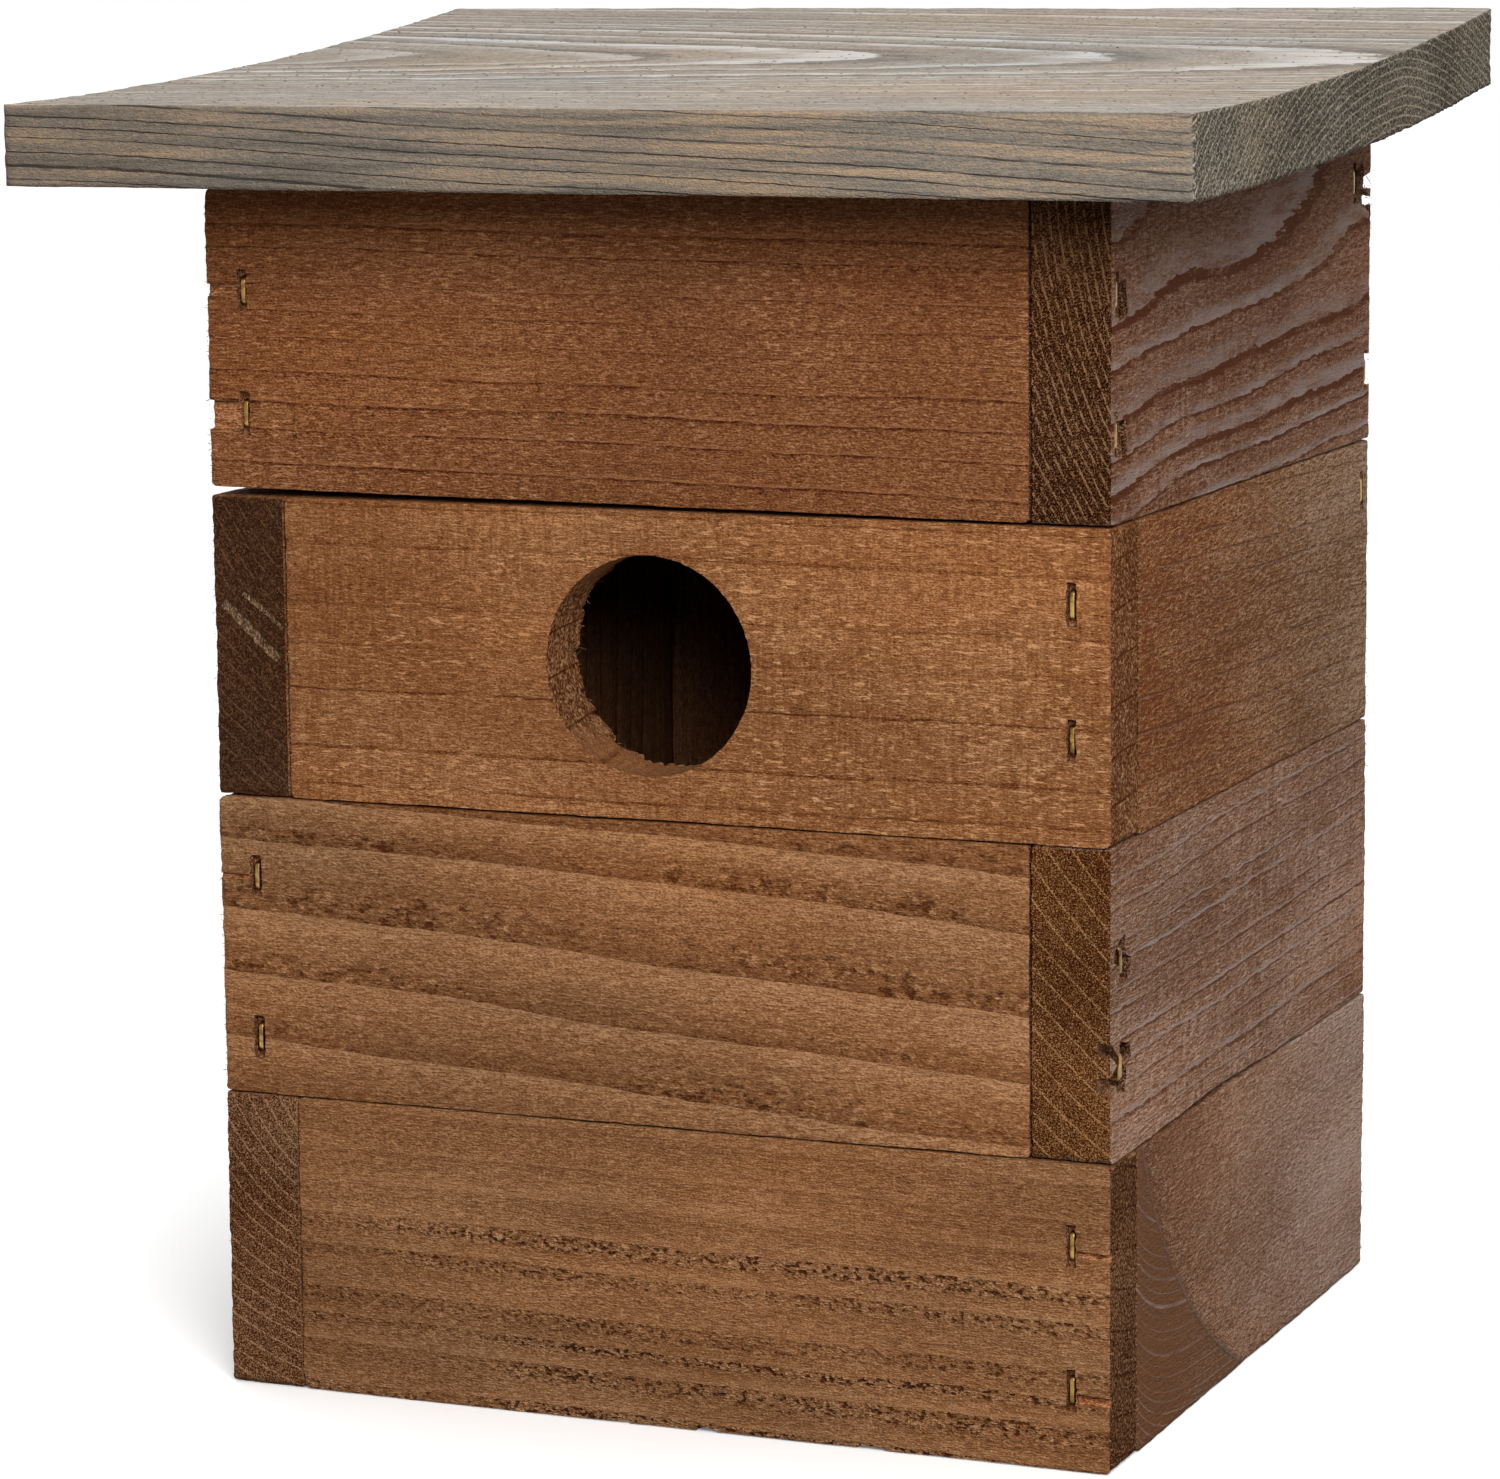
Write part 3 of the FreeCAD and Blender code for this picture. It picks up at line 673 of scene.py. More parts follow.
# %% The sawn board tree
EASE_CELLS, CORNER_CELLS, SLOW_CELLS, FINE_CELLS, RAG_CELLS = 0.09, 0.03, 0.045, 0.9, 0.8
GRAIN_DRAW = 0.7                # how much of the length is taken out, so that marks are drawn out along it
TINY = 1e-9
board_inputs = [
    ("Low", "Vector", None), ("High", "Vector", None), ("Cell", "Float", 0.7 * MM),
    ("Ease", "Float", 0.22 * MM), ("Corner", "Float", 0.8 * MM), ("Flat", "Vector", (1, 0, 1)),
    ("Grain", "Vector", (1, 0, 0)), ("Wander", "Float", 0.2 * MM), ("Fuzz", "Float", 0.1 * MM),
    ("Rag", "Float", 0.3 * MM), ("Seed", "Float", 0.0), ("Material", "Material", None)]


def rounded(bench, point, half, reach):
    """Draws in what lies within the reach of an edge, as a square is drawn into a disc."""
    core = bench.vector("SUBTRACT", half, reach)
    inner = bench.vector("MAXIMUM", bench.vector("MINIMUM", point, core), bench.scaled(core, -1.0))
    out = bench.vector("SUBTRACT", point, inner)
    sides = bench.parts(bench.vector("ABSOLUTE", out))
    widest = bench.math("MAXIMUM", bench.math("MAXIMUM", sides[0], sides[1]), sides[2])
    length = bench.math("MAXIMUM", bench.vector("LENGTH", out), TINY)
    return bench.vector("ADD", inner, bench.scaled(out, bench.over(widest, length)))


def saw_dip(bench, given, place_mm):
    """How far the saw sank into each face, and the rag at the ends, as an offset."""
    normal = bench.node("GeometryNodeInputNormal")
    grain_part = bench.scaled(given["Grain"], bench.vector("DOT_PRODUCT", place_mm, given["Grain"]))
    drawn_out = bench.vector("SUBTRACT", place_mm, bench.scaled(grain_part, GRAIN_DRAW))
    end = bench.math("ABSOLUTE", bench.vector("DOT_PRODUCT", normal, given["Grain"]))
    slow = bench.step(bench.noise(drawn_out, SLOW_CELLS, given["Seed"]), 0.25, 0.75)
    fine = bench.step(bench.noise(drawn_out, FINE_CELLS, given["Seed"]), 0.3, 0.7)
    rag = bench.step(bench.noise(place_mm, RAG_CELLS, given["Seed"], 3.0), 0.35, 0.75)
    depth = bench.total((given["Wander"], slow), (given["Fuzz"], fine))
    depth = bench.times_plus(bench.times(rag, end), given["Rag"], depth)
    return bench.scaled(normal, bench.times(depth, -1.0))


def finished(bench, geometry, material):
    """The end of every geometry tree: copies made real, and one material."""
    whole = bench.node("GeometryNodeRealizeInstances", {"Geometry": geometry})
    return [bench.node("GeometryNodeSetMaterial", {"Geometry": whole, "Material": material})]


def lay_out_board(bench, given):
    """Wires the block, its rounding and its roughness."""
    size = bench.vector("SUBTRACT", given["High"], given["Low"])
    half = bench.scaled(size, 0.5)
    middle = bench.scaled(bench.vector("ADD", given["High"], given["Low"]), 0.5)
    cells = bench.parts(bench.scaled(size, bench.over(1.0, given["Cell"])))
    counts = {i + 1: bench.plus(bench.math("CEIL", cells[i]), 1.0) for i in range(3)}
    block = bench.node("GeometryNodeMeshCube", {0: size, **counts})
    place = bench.node("GeometryNodeInputPosition")
    place_mm = bench.scaled(bench.vector("ADD", place, middle), 1 / MM)

    bite = bench.step(bench.noise(place_mm, EASE_CELLS, given["Seed"], 3.0), 0.3, 0.75, 0.5, 2.2)
    ease = bench.times(given["Ease"], bite)
    eased = rounded(bench, place, half, bench.joined(ease, ease, ease))
    corner_bite = bench.step(bench.noise(place_mm, CORNER_CELLS, given["Seed"], 1.0), 0.3, 0.7, 0.5, 1.5)
    corner = bench.scaled(given["Flat"], bench.times(given["Corner"], corner_bite))
    shape = rounded(bench, eased, half, corner)
    shaped = bench.node("GeometryNodeSetPosition", {"Geometry": block, "Position": shape})
    dip = saw_dip(bench, given, place_mm)
    rough = bench.node("GeometryNodeSetPosition", {"Geometry": shaped, "Offset": dip})
    seated = bench.node("GeometryNodeSetPosition", {"Geometry": rough, "Offset": middle})
    smooth = bench.node("GeometryNodeSetShadeSmooth", {"Geometry": seated})
    return finished(bench, smooth, given["Material"])


board_outputs = [("Board", "Geometry")]
board_tree = new_tree("Sawn board", "GeometryNodeTree", board_inputs, board_outputs, lay_out_board)

# %% [markdown]
# ## Running a tree into a plain mesh
# A Geometry Nodes modifier is live, but the finished piece has to be a plain mesh at the origin.
# The tree's inputs are set by their identifiers, the object is evaluated once and its result is
# copied out.

# %% Run a tree


def bake_modifiers(piece):
    """Turns what the modifiers make into the piece's own mesh."""
    evaluated = piece.evaluated_get(bpy.context.evaluated_depsgraph_get())
    mesh = bpy.data.meshes.new_from_object(evaluated)
    piece.modifiers.clear()
    old = piece.data
    piece.data = mesh
    bpy.data.meshes.remove(old)
    mesh.name = piece.name


def run_tree(name, tree, source=None, **given):
    """Runs a Geometry Nodes tree on a new object and leaves its result there as a plain mesh."""
    piece = bpy.data.objects.new(name, source or bpy.data.meshes.new(name))
    bpy.context.scene.collection.objects.link(piece)
    modifier = piece.modifiers.new("tree", "NODES")
    modifier.node_group = tree
    keys = {item.name: item.identifier for item in tree.interface.items_tree if item.in_out == "INPUT"}
    for key, value in given.items():
        modifier[keys[key.replace("_", " ").title()]] = value
    bake_modifiers(piece)
    piece.data.materials.clear()
    piece.data.materials.append(given["material"])
    return piece


def mesh_points(mesh):
    """The points of a mesh as rows of x, y and z."""
    points = np.empty(len(mesh.vertices) * 3)
    mesh.vertices.foreach_get("co", points)
    return points.reshape(-1, 3)


def set_mesh_points(mesh, points):
    """Puts changed points back into their mesh."""
    mesh.vertices.foreach_set("co", points.ravel())
    mesh.update()


print("trees can be run")

# %% [markdown]
# ## The cupped roof line
# The roof board has cupped: its hollow side is up. The upper side boards and the back were cut to
# follow its underside, so the same arc is needed for four boards. The arc is found from the roof
# solid's own box and the depth of the hollow.

# %% Roof arc
ROOF_SAG = 1.9 * MM
ROOF_THICKNESS = 12 * MM
ROOF_FALL = 10 * MM
ROOF_ROOM = 0.3 * MM
ROOF_FRONT = 181 * MM           # height of the underside at the front edge
roof_low, roof_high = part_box("roof_board")
roof_span = roof_high.y - roof_low.y
roof_chord = math.hypot(roof_span, ROOF_FALL)
roof_radius = roof_chord ** 2 / (8 * ROOF_SAG) + ROOF_SAG / 2
arc_reach = (roof_radius - ROOF_SAG) / roof_chord
arc_y = (roof_low.y + roof_high.y) / 2 - arc_reach * ROOF_FALL
arc_z = ROOF_FRONT + ROOF_FALL / 2 + arc_reach * roof_span


def roof_line(y, rise=0.0):
    """Height of the roof's underside at each y, or of a face that lies above it by the rise."""
    return arc_z - np.sqrt((roof_radius - rise) ** 2 - (y - arc_y) ** 2)


print("roof underside from", roof_line(roof_low.y), "to", roof_line(roof_high.y))

# %% [markdown]
# ## What each board looks like
# The looks of the twelve boards are a short table: where the pith lay, how far apart the rings are, how
# fuzzy, torn or rippled the saw left that board, and its stain. The front boards face the lamp. The
# right-hand boards are seen at a flat angle, where the raised nap shows a cool sheen. That sheen is
# painted: their stains spread by shares that grow paler and bluer as they lighten, and their smooth wood
# takes a greyish-lilac painted sheen.

# %% Looks of the boards
brown = (126, 84, 54)
# painted sheen: the greyish-lilac smooth tones and the paler, bluer shares stand in for the sheen of the
# flat view
sheen_lilac, pale_sheen_lilac = (140, 113, 101), (156, 132, 121)
sheen_shares = (0.92, 1.0, 1.1)
board_looks = {
    "course_4_front": dict(
        tones((121, 73, 40), (96, 62, 40)), pith=(0, 30, 96), ring_spacing=4.2, taper=-0.012, wobble=4.0,
        line=0.42, line_width=0.1, ridge=0.55, ridge_width=0.13, tear=0.35, tear_reach=0.3, tear_size=0.5,
        fleck=0.5, fuzz=0.55, relief=0.11, saw=0.1, streak=0.25, mottle=0.4),
    "course_3_front": dict(
        tones((134, 85, 48), (122, 80, 50)), pith=(0, 10, -131), ring_spacing=6.8, end_spacing=6.8,
        taper=0.004, wobble=3.0, line=0.34, line_width=0.06, band=0.05, fleck=0.6, fuzz=0.5, coarse=0.9,
        relief=0.09, saw=0.55, streak=0.12, mottle=0.6, end_ring=-0.6, end_dash=0.2, end_coarse=2.0),
    "course_2_front": dict(
        tones((132, 88, 54), (100, 65, 42)), pith=(0, 25, -120), ring_spacing=9.3, taper=0.05, wobble=5.0,
        ridge=0.45, ridge_width=0.12, band=0.4, tear=0.5, tear_reach=0.55, fuzz=0.5, relief=0.1, saw=0.1,
        streak=0.2, mottle=0.3),
    "course_1_front": dict(
        tones((128, 86, 53), (90, 57, 32)), pith=(0, 20, 104), ring_spacing=5.0, end_spacing=6.0,
        taper=-0.012, wobble=4.0, ridge=0.35, ridge_width=0.3, band=0.1, tear=1.3, tear_reach=0.65,
        tear_below=5.0, tear_size=0.5, fleck=0.2, fuzz=0.5, relief=0.1, saw=0.1, streak=0.25, mottle=0.5,
        end_ring=-0.3, end_coarse=2.0),
    "course_4_right": dict(
        tones((138, 95, 68), (70, 39, 16), pale_sheen_lilac, sheen_shares), pith=(0, -90, 28), ring_spacing=2.5,
        end_spacing=1.3, taper=0.03, wobble=6.0, line=0.8, line_width=0.16, ridge=0.8, ridge_width=0.5,
        fuzz=0.7, coarse=1.2, relief=0.35, saw=0.9, saw_pitch=1.1, streak=0.4, mottle=1.0, end_ring=0.8,
        end_dash=1.0),
    "course_3_right": dict(
        tones((160, 111, 72), (90, 60, 40), sheen_lilac, sheen_shares), pith=(0, 20, -80), ring_spacing=3.5, taper=0.03,
        wobble=4.0, line=0.5, line_width=0.1, ridge=0.5, ridge_width=0.12, fuzz=0.85, coarse=1.2,
        relief=0.5, saw=0.5, saw_pitch=1.0, streak=0.2, mottle=1.0, warmth=-0.012, fade=0.003),
    "course_2_right": dict(
        tones((157, 116, 90), (94, 56, 24), pale_sheen_lilac, sheen_shares), pith=(0, -70, 70), ring_spacing=2.7,
        end_spacing=3.0, taper=0.01, wobble=3.0, line=0.7, line_width=0.16, ridge=1.6, ridge_width=0.18,
        fuzz=0.65, coarse=1.2, relief=0.4, saw=0.8, saw_pitch=1.0, streak=0.2, mottle=1.0, end_ring=0.5),
    "course_1_right": dict(
        tones((168, 128, 102), (100, 66, 44), sheen_lilac, sheen_shares), pith=(0, -150, 15), knot=(45, -6, 75),
        knot_rise=-200.0, knot_reach=200.0, clean_beyond=64.0, ring_spacing=1.8, taper=0.02, wobble=3.0,
        shiver=0.3, line=0.18, line_width=0.3, ridge=0.25, ridge_width=0.2, fuzz=0.6, coarse=1.2,
        relief=0.45, saw=0.4, saw_pitch=1.0, streak=0.2, mottle=1.0, warmth=-0.004, fade=0.005),
    "course_4_left": dict(
        tones(brown, (96, 62, 40)), pith=(0, 60, 20), ring_spacing=2.2, taper=0.02, line=0.3,
        line_width=0.2, ridge=0.3, ridge_width=0.3, fleck=0.2, fuzz=0.6, saw=0.4, streak=0.35, mottle=0.5),
    "course_3_left": dict(
        tones(brown, (70, 45, 29)), end_dark=paint(46, 27, 16), end_light=paint(100, 71, 50),
        pith=(0, -60, 60), ring_spacing=1.8, end_spacing=2.0, taper=0.02, line=0.3, line_width=0.25,
        ridge=0.3, ridge_width=0.3, fuzz=0.6, saw=0.4, streak=0.3, mottle=0.5, end_ring=0.45, end_dash=0.8,
        end_coarse=1.3),
    "course_2_left": dict(
        tones(brown, (100, 65, 42)), pith=(0, 30, -90), ring_spacing=5.5, taper=0.03, line=0.2,
        line_width=0.15, ridge=0.3, tear=0.3, fuzz=0.6, saw=0.3, streak=0.3, mottle=0.5),
    "course_1_left": dict(
        tones(brown, (103, 65, 38)), pith=(0, -24, 34), ring_spacing=2.3, end_spacing=2.3, taper=-0.05,
        line=0.25, line_width=0.25, ridge=0.3, ridge_width=0.3, fuzz=0.6, saw=0.4, streak=0.3, mottle=0.5,
        end_ring=0.5),
}
print("looks for", len(board_looks), "boards")

# %% [markdown]
# ## Cutting the boards
# Each board takes its box from its solid. The two upper side boards are then sloped to the roof line.
# Sawn boards never lie quite close, so the lower edges of three of them are lifted a little: two leave
# a wedge-shaped gap that opens towards the front left corner, and one is slightly hollow.

# %% Boards of the four courses
FRONT_FLAT, SIDE_FLAT = (1, 0, 1), (0, 1, 1)
BOARD_SEED, BOARD_SEED_STEP = 3, 7.3
BOX_WIDTH, BOX_DEPTH = 140 * MM, 128 * MM
WEDGE_GAP = 1.0 * MM
HOLLOW_GAP, HOLLOW_MIDDLE, HOLLOW_REACH = 0.9 * MM, -12 * MM, 26 * MM


def sawn_board(node, grain, flat, looks, seed, **shape):
    """Makes the board that stands for a solid, with its own wood."""
    low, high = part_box(node)
    material = board_wood(node + "_wood", (low + high) / 2, grain, seed=float(seed), **looks)
    return run_tree(
        node + "_sawn", board_tree, low=low, high=high, flat=flat, grain=GRAIN_AXIS[grain],
        seed=float(seed), material=material, **shape)


def fit_under_roof(piece):
    """Slopes the top of a board to the roof line, keeping its lower edge."""
    points = mesh_points(piece.data)
    bottom, top = points[:, 2].min(), points[:, 2].max()
    share = (points[:, 2] - bottom) / (top - bottom)
    points[:, 2] = bottom + share * (roof_line(points[:, 1]) - ROOF_ROOM - bottom)
    set_mesh_points(piece.data, points)


def lift_bottom(piece, lift):
    """Raises the lower edge of a board by what the lift gives for each x and y, keeping its top."""
    points = mesh_points(piece.data)
    bottom, top = points[:, 2].min(), points[:, 2].max()
    share = (top - points[:, 2]) / (top - bottom)
    points[:, 2] += share * lift(points[:, 0], points[:, 1])
    set_mesh_points(piece.data, points)


def hollow(x, y):
    """A gap that is widest at one place along a side board."""
    return HOLLOW_GAP * np.exp(-((y - HOLLOW_MIDDLE) / HOLLOW_REACH) ** 2)


boards = {}
for number, (name, looks) in enumerate(board_looks.items()):
    grain, flat = ("x", FRONT_FLAT) if name.endswith("front") else ("y", SIDE_FLAT)
    seed = BOARD_SEED + number * BOARD_SEED_STEP
    boards[name + "_board"] = sawn_board(name + "_board", grain, flat, looks, seed)
fit_under_roof(boards["course_4_left_board"])
fit_under_roof(boards["course_4_right_board"])
lift_bottom(boards["course_4_front_board"], lambda x, y: WEDGE_GAP * (0.5 - x / BOX_WIDTH))
lift_bottom(boards["course_4_left_board"], lambda x, y: WEDGE_GAP * (0.5 - y / BOX_DEPTH))
lift_bottom(boards["course_2_right_board"], hollow)
print("boards:", {name: len(board.data.polygons) for name, board in boards.items()})

# %% [markdown]
# ## The inner boards
# The back, the floor and the two corner battens are the same sawn stuff, seen only through the
# entrance or with the roof up, so their cells are coarser.

# %% Back, floor and battens
INNER_CELL = 1.6 * MM
INNER_SEED, INNER_SEED_STEP = 91, 5.7
# the inner stain is paler than the front's, partly a guess at less stained inner wood and partly painted
# light for what comes in through the entrance
inner_looks = dict(
    tones((150, 98, 62), (100, 64, 41)), ring_spacing=4.0, taper=0.02, wobble=3.0, line=0.3,
    line_width=0.15, band=0.12, ridge=0.2, fuzz=0.5, saw=0.3, streak=0.6, mottle=0.5)
inner_pieces = {
    "back_board": ("z", (1, 0, 1), (0, 60, 20)),
    "floor_board": ("x", (1, 1, 0), (0, 10, -60)),
    "left_batten": ("z", (0, 1, 1), (0, 40, 40)),
    "right_batten": ("z", (0, 1, 1), (0, -40, 40)),
}
for number, (node, (grain, flat, pith)) in enumerate(inner_pieces.items()):
    looks = dict(inner_looks, pith=pith)
    seed = INNER_SEED + number * INNER_SEED_STEP
    boards[node] = sawn_board(node, grain, flat, looks, seed, cell=INNER_CELL)
fit_under_roof(boards["back_board"])
print("inner boards:", list(inner_pieces))

# %% [markdown]
# ## The roof board
# The roof is one grey-stained board whose pith ran far below its middle: the end shows arches, the
# top shows pale flames down the middle with close straight lines to either side, and the front edge
# shows a few wavy lines. It is cut flat like any board and then bent to its arc. The top and underside
# have one finish and the edges another: the top's is paler as painted light from above, and its pale
# flames take a painted sheen of the flat view, while the edges keep the browner stain.

# %% Roof
# faces that look up or down take the paler finish with painted light and sheen
FLAT_SIDE = 0.7                 # how squarely a face looks up or down where it takes the top's finish
roof_looks = dict(
    pith=(0, 23, -118.3), ring_spacing=1.4, end_spacing=1.4, taper=0.037, wobble=3.0, shiver=0.3,
    saw=0.05, mottle=0.4, end_ring=0.55, end_coarse=1.8)
# painted light: the top's tones are the edges' stain made paler, and its smooth tone is a painted sheen
roof_top_lit_tones = tones((135, 124, 112), (100, 92, 81), (174, 169, 164))
roof_edge_tones = dict(tones((122, 112, 101), (100, 92, 81)), face_light=paint(184, 152, 118))
roof_middle = (roof_low + roof_high) / 2
roof_top_wood = board_wood(
    "roof_top_wood", roof_middle, "x", gloss=0.4, **roof_top_lit_tones, **roof_looks, seed=304.0, line=0.35,
    line_width=0.3, ridge=1.1, ridge_width=0.4, fuzz=0.4, coarse=1.6, streak=0.3, fleck=0.3)
roof_edge_wood = board_wood(
    "roof_edge_wood", roof_middle, "x", **roof_edge_tones, **roof_looks, seed=205.0, line=0.75,
    line_width=0.12, ridge=0.1, band=0.1, fuzz=0.2, streak=1.3)
flat_low = Vector((roof_low.x, roof_low.y, 0))
flat_high = Vector((roof_high.x, roof_high.y, ROOF_THICKNESS))
roof = run_tree(
    "roof_board_sawn", board_tree, low=flat_low, high=flat_high, flat=(1, 1, 0), grain=(1, 0, 0),
    seed=150.0, material=roof_edge_wood, cell=0.9 * MM, wander=0.25 * MM, fuzz=0.08 * MM, rag=0.35 * MM)
roof_points = mesh_points(roof.data)
under = roof_line(roof_points[:, 1])
over = roof_line(roof_points[:, 1], ROOF_THICKNESS)
roof_points[:, 2] = under + roof_points[:, 2] / ROOF_THICKNESS * (over - under)
set_mesh_points(roof.data, roof_points)
roof.data.materials.append(roof_top_wood)
for face in roof.data.polygons:
    face.material_index = int(abs(face.normal.z) > FLAT_SIDE)
boards["roof_board"] = roof
print("roof cells:", len(roof.data.polygons))

# %% [markdown]
# The saw also left grains of dust lying on the roof, and seen this flat they stand out like a fine
# stubble. A tree scatters them over the upper faces: it keeps the faces that look up, drops points on
# them with a fixed seed and sets a small stone-like lump on each, never two of one size.

# %% Dust on the roof
LOOKS_UP = 0.8
SMALLEST_GRAIN, LARGEST_GRAIN = (0.6, 0.6, 0.4), (3.4, 1.6, 1.3)
dust_inputs = [
    ("Board", "Geometry", None), ("Per Square Metre", "Float", 60000.0), ("Size", "Float", 0.11 * MM),
    ("Seed", "Int", 5), ("Material", "Material", None)]


def random_vector(bench, low, high, seed):
    """A vector between two others, a new one at each point."""
    inputs = {"Min": low, "Max": high, "Seed": seed}
    return bench.node("FunctionNodeRandomValue", inputs, data_type="FLOAT_VECTOR")


def lay_out_dust(bench, given):
    """Wires points on the faces that look up and a lump on each."""
    normal = bench.node("GeometryNodeInputNormal")
    upward = bench.math("GREATER_THAN", bench.vector("DOT_PRODUCT", normal, (0, 0, 1)), LOOKS_UP)
    inputs = {"Mesh": given["Board"], "Selection": upward, "Density": given["Per Square Metre"]}
    points = bench.node("GeometryNodeDistributePointsOnFaces", {**inputs, "Seed": given["Seed"]})
    lump = bench.node("GeometryNodeMeshIcoSphere", {"Radius": given["Size"], "Subdivisions": 1})
    stretch = random_vector(bench, SMALLEST_GRAIN, LARGEST_GRAIN, given["Seed"])
    inputs = {"Points": points, "Instance": lump, "Scale": stretch}
    return finished(bench, bench.node("GeometryNodeInstanceOnPoints", inputs), given["Material"])


dust_outputs = [("Dust", "Geometry")]
dust_tree = new_tree("Saw dust", "GeometryNodeTree", dust_inputs, dust_outputs, lay_out_dust)
dust = run_tree("roof_dust", dust_tree, roof.data.copy(), material=roof_edge_wood)
print("dust:", len(dust.data.polygons), "faces")

# %% [markdown]
# ## Staples
# Each joint is held by wire staples whose crowns lie in the surface. A staple is a flat wire bent
# twice; a small tree bends one and sets a copy at every place that the solids give. Where each one
# sits is read from its solid: the longest side of its box lies along the legs, the next along the
# crown, and the crown is at the end with more metal.

# %% Where the staples are
SAME_POINT = 0.001 * MM


def joined_corners(start, waiting):
    """All the corners that edges join to one, taken out of those that wait."""
    waiting.discard(start)
    group, edge = [], [start]
    while edge:
        corner = edge.pop()
        group.append(corner)
        for link in corner.link_edges:
            other = link.other_vert(corner)
            if other in waiting:
                waiting.discard(other)
                edge.append(other)
    return group


def separate_solids(node):
    """The corner points of each loose solid in a node and the middle of its skin."""
    shell = bmesh.new()
    shell.from_mesh(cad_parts[node].data)
    bmesh.ops.remove_doubles(shell, verts=shell.verts, dist=SAME_POINT)
    waiting = set(shell.verts)
    solids = []
    for start in shell.verts:
        if start not in waiting:
            continue
        group = joined_corners(start, waiting)
        faces = {face for corner in group for face in corner.link_faces}
        skin = sum(face.calc_area() for face in faces)
        centre = sum((face.calc_center_median() * face.calc_area() for face in faces), Vector()) / skin
        solids.append((np.array([corner.co[:] for corner in group]), centre))
    shell.free()
    return solids


def staple_place(points, centre):
    """Middle of a crown's outer face, its outward direction and the direction that the crown runs in."""
    low, high = points.min(0), points.max(0)
    order = np.argsort(high - low)
    leg, crown = order[2], order[1]
    middle = (low + high) / 2
    crown_at_low = centre[leg] < middle[leg]
    out = np.zeros(3)
    out[leg] = -1.0 if crown_at_low else 1.0
    along = np.zeros(3)
    along[crown] = 1.0
    middle[leg] = low[leg] if crown_at_low else high[leg]
    return Vector(middle), Vector(out), Vector(along)


staple_nodes = [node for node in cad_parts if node.endswith("_staples")]
staples = {node: [staple_place(*solid) for solid in separate_solids(node)] for node in staple_nodes}
print("staples:", {node: len(places) for node, places in staples.items()})

# %% [markdown]
# The wire tree starts from a line of four points, moves them to the corners of the staple, rounds
# the two bends, sweeps a small rectangle along them and copies the result to each point.

# %% Staple tree
CROWN_LENGTH = 4.5 * MM
WIRE_WIDTH = 0.75 * MM
WIRE_THICKNESS = 0.6 * MM
SUNK = 0.3 * MM                 # how far the crowns in the front and back lie below the surface
LEG_LENGTH = 20 * MM - SUNK
WIRE_ROUNDING = 0.22            # share of the wire's thickness
MIDDLE_INDEX = 1.5              # between the second and the third of the four points
staple_inputs = [
    ("Places", "Geometry", None), ("Crown", "Float", CROWN_LENGTH), ("Leg", "Float", LEG_LENGTH),
    ("Width", "Float", WIRE_WIDTH), ("Thickness", "Float", WIRE_THICKNESS), ("Material", "Material", None)]


def carried_vector(bench, name):
    """A vector that the points carry under a name."""
    return bench.node("GeometryNodeInputNamedAttribute", {"Name": name}, data_type="FLOAT_VECTOR")


def bent_line(bench, given):
    """Four points at the corners of a staple, its crown upward, joined by a line."""
    index = bench.node("GeometryNodeInputIndex")
    half_crown = bench.times(bench.minus(given["Crown"], given["Width"]), 0.5)
    side = bench.minus(bench.times(bench.math("GREATER_THAN", index, MIDDLE_INDEX), 2.0), 1.0)
    tip = bench.math("GREATER_THAN", bench.math("ABSOLUTE", bench.minus(index, MIDDLE_INDEX)), 1.0)
    half_wire = bench.times(given["Thickness"], -0.5)
    drop = bench.times_plus(tip, bench.times(given["Leg"], -1.0), half_wire)
    corner = bench.joined(bench.times(side, half_crown), 0.0, drop)
    line = bench.node("GeometryNodeMeshLine", {"Count": 4})
    return bench.node("GeometryNodeSetPosition", {"Geometry": line, "Position": corner})


def lay_out_staples(bench, given):
    """Wires one bent wire and its copies."""
    wire = bench.node("GeometryNodeMeshToCurve", {0: bent_line(bench, given)})
    inputs = {"Curve": wire, "Count": 4, "Radius": given["Thickness"]}
    wire = bench.node("GeometryNodeFilletCurve", inputs, mode="POLY")
    inputs = {0: given["Thickness"], 1: given["Width"]}
    section = bench.node("GeometryNodeCurvePrimitiveQuadrilateral", inputs)
    inputs = {"Curve": section, "Count": 2, "Radius": bench.times(given["Thickness"], WIRE_ROUNDING)}
    section = bench.node("GeometryNodeFilletCurve", inputs, mode="POLY")
    inputs = {"Curve": wire, "Profile Curve": section, "Fill Caps": True}
    swept = bench.node("GeometryNodeCurveToMesh", inputs)
    turn = bench.node("FunctionNodeEulerToRotation", {0: carried_vector(bench, "turn")})
    inputs = {"Points": given["Places"], "Instance": swept, "Rotation": turn}
    return finished(bench, bench.node("GeometryNodeInstanceOnPoints", inputs), given["Material"])


staple_outputs = [("Staples", "Geometry")]
staple_tree = new_tree("Wire staples", "GeometryNodeTree", staple_inputs, staple_outputs, lay_out_staples)

# %% [markdown]
# ## Metal finishes
# The staples are coated wire with a brassy, slightly scratched look. The hinges, screws and hanger
# are zinc-plated steel: pale grey, with soft cloudy patches and fine rubbed lines. Both are plain
# metal shaders; the interest is in how the roughness and tint vary.

# %% Wire and zinc
CLOUD_CELLS, GRIME_CELLS = 0.35, 1.1
CLOUD_SEED, RUB_SEED, GRIME_SEED = 2.0, 4.0, 7.0


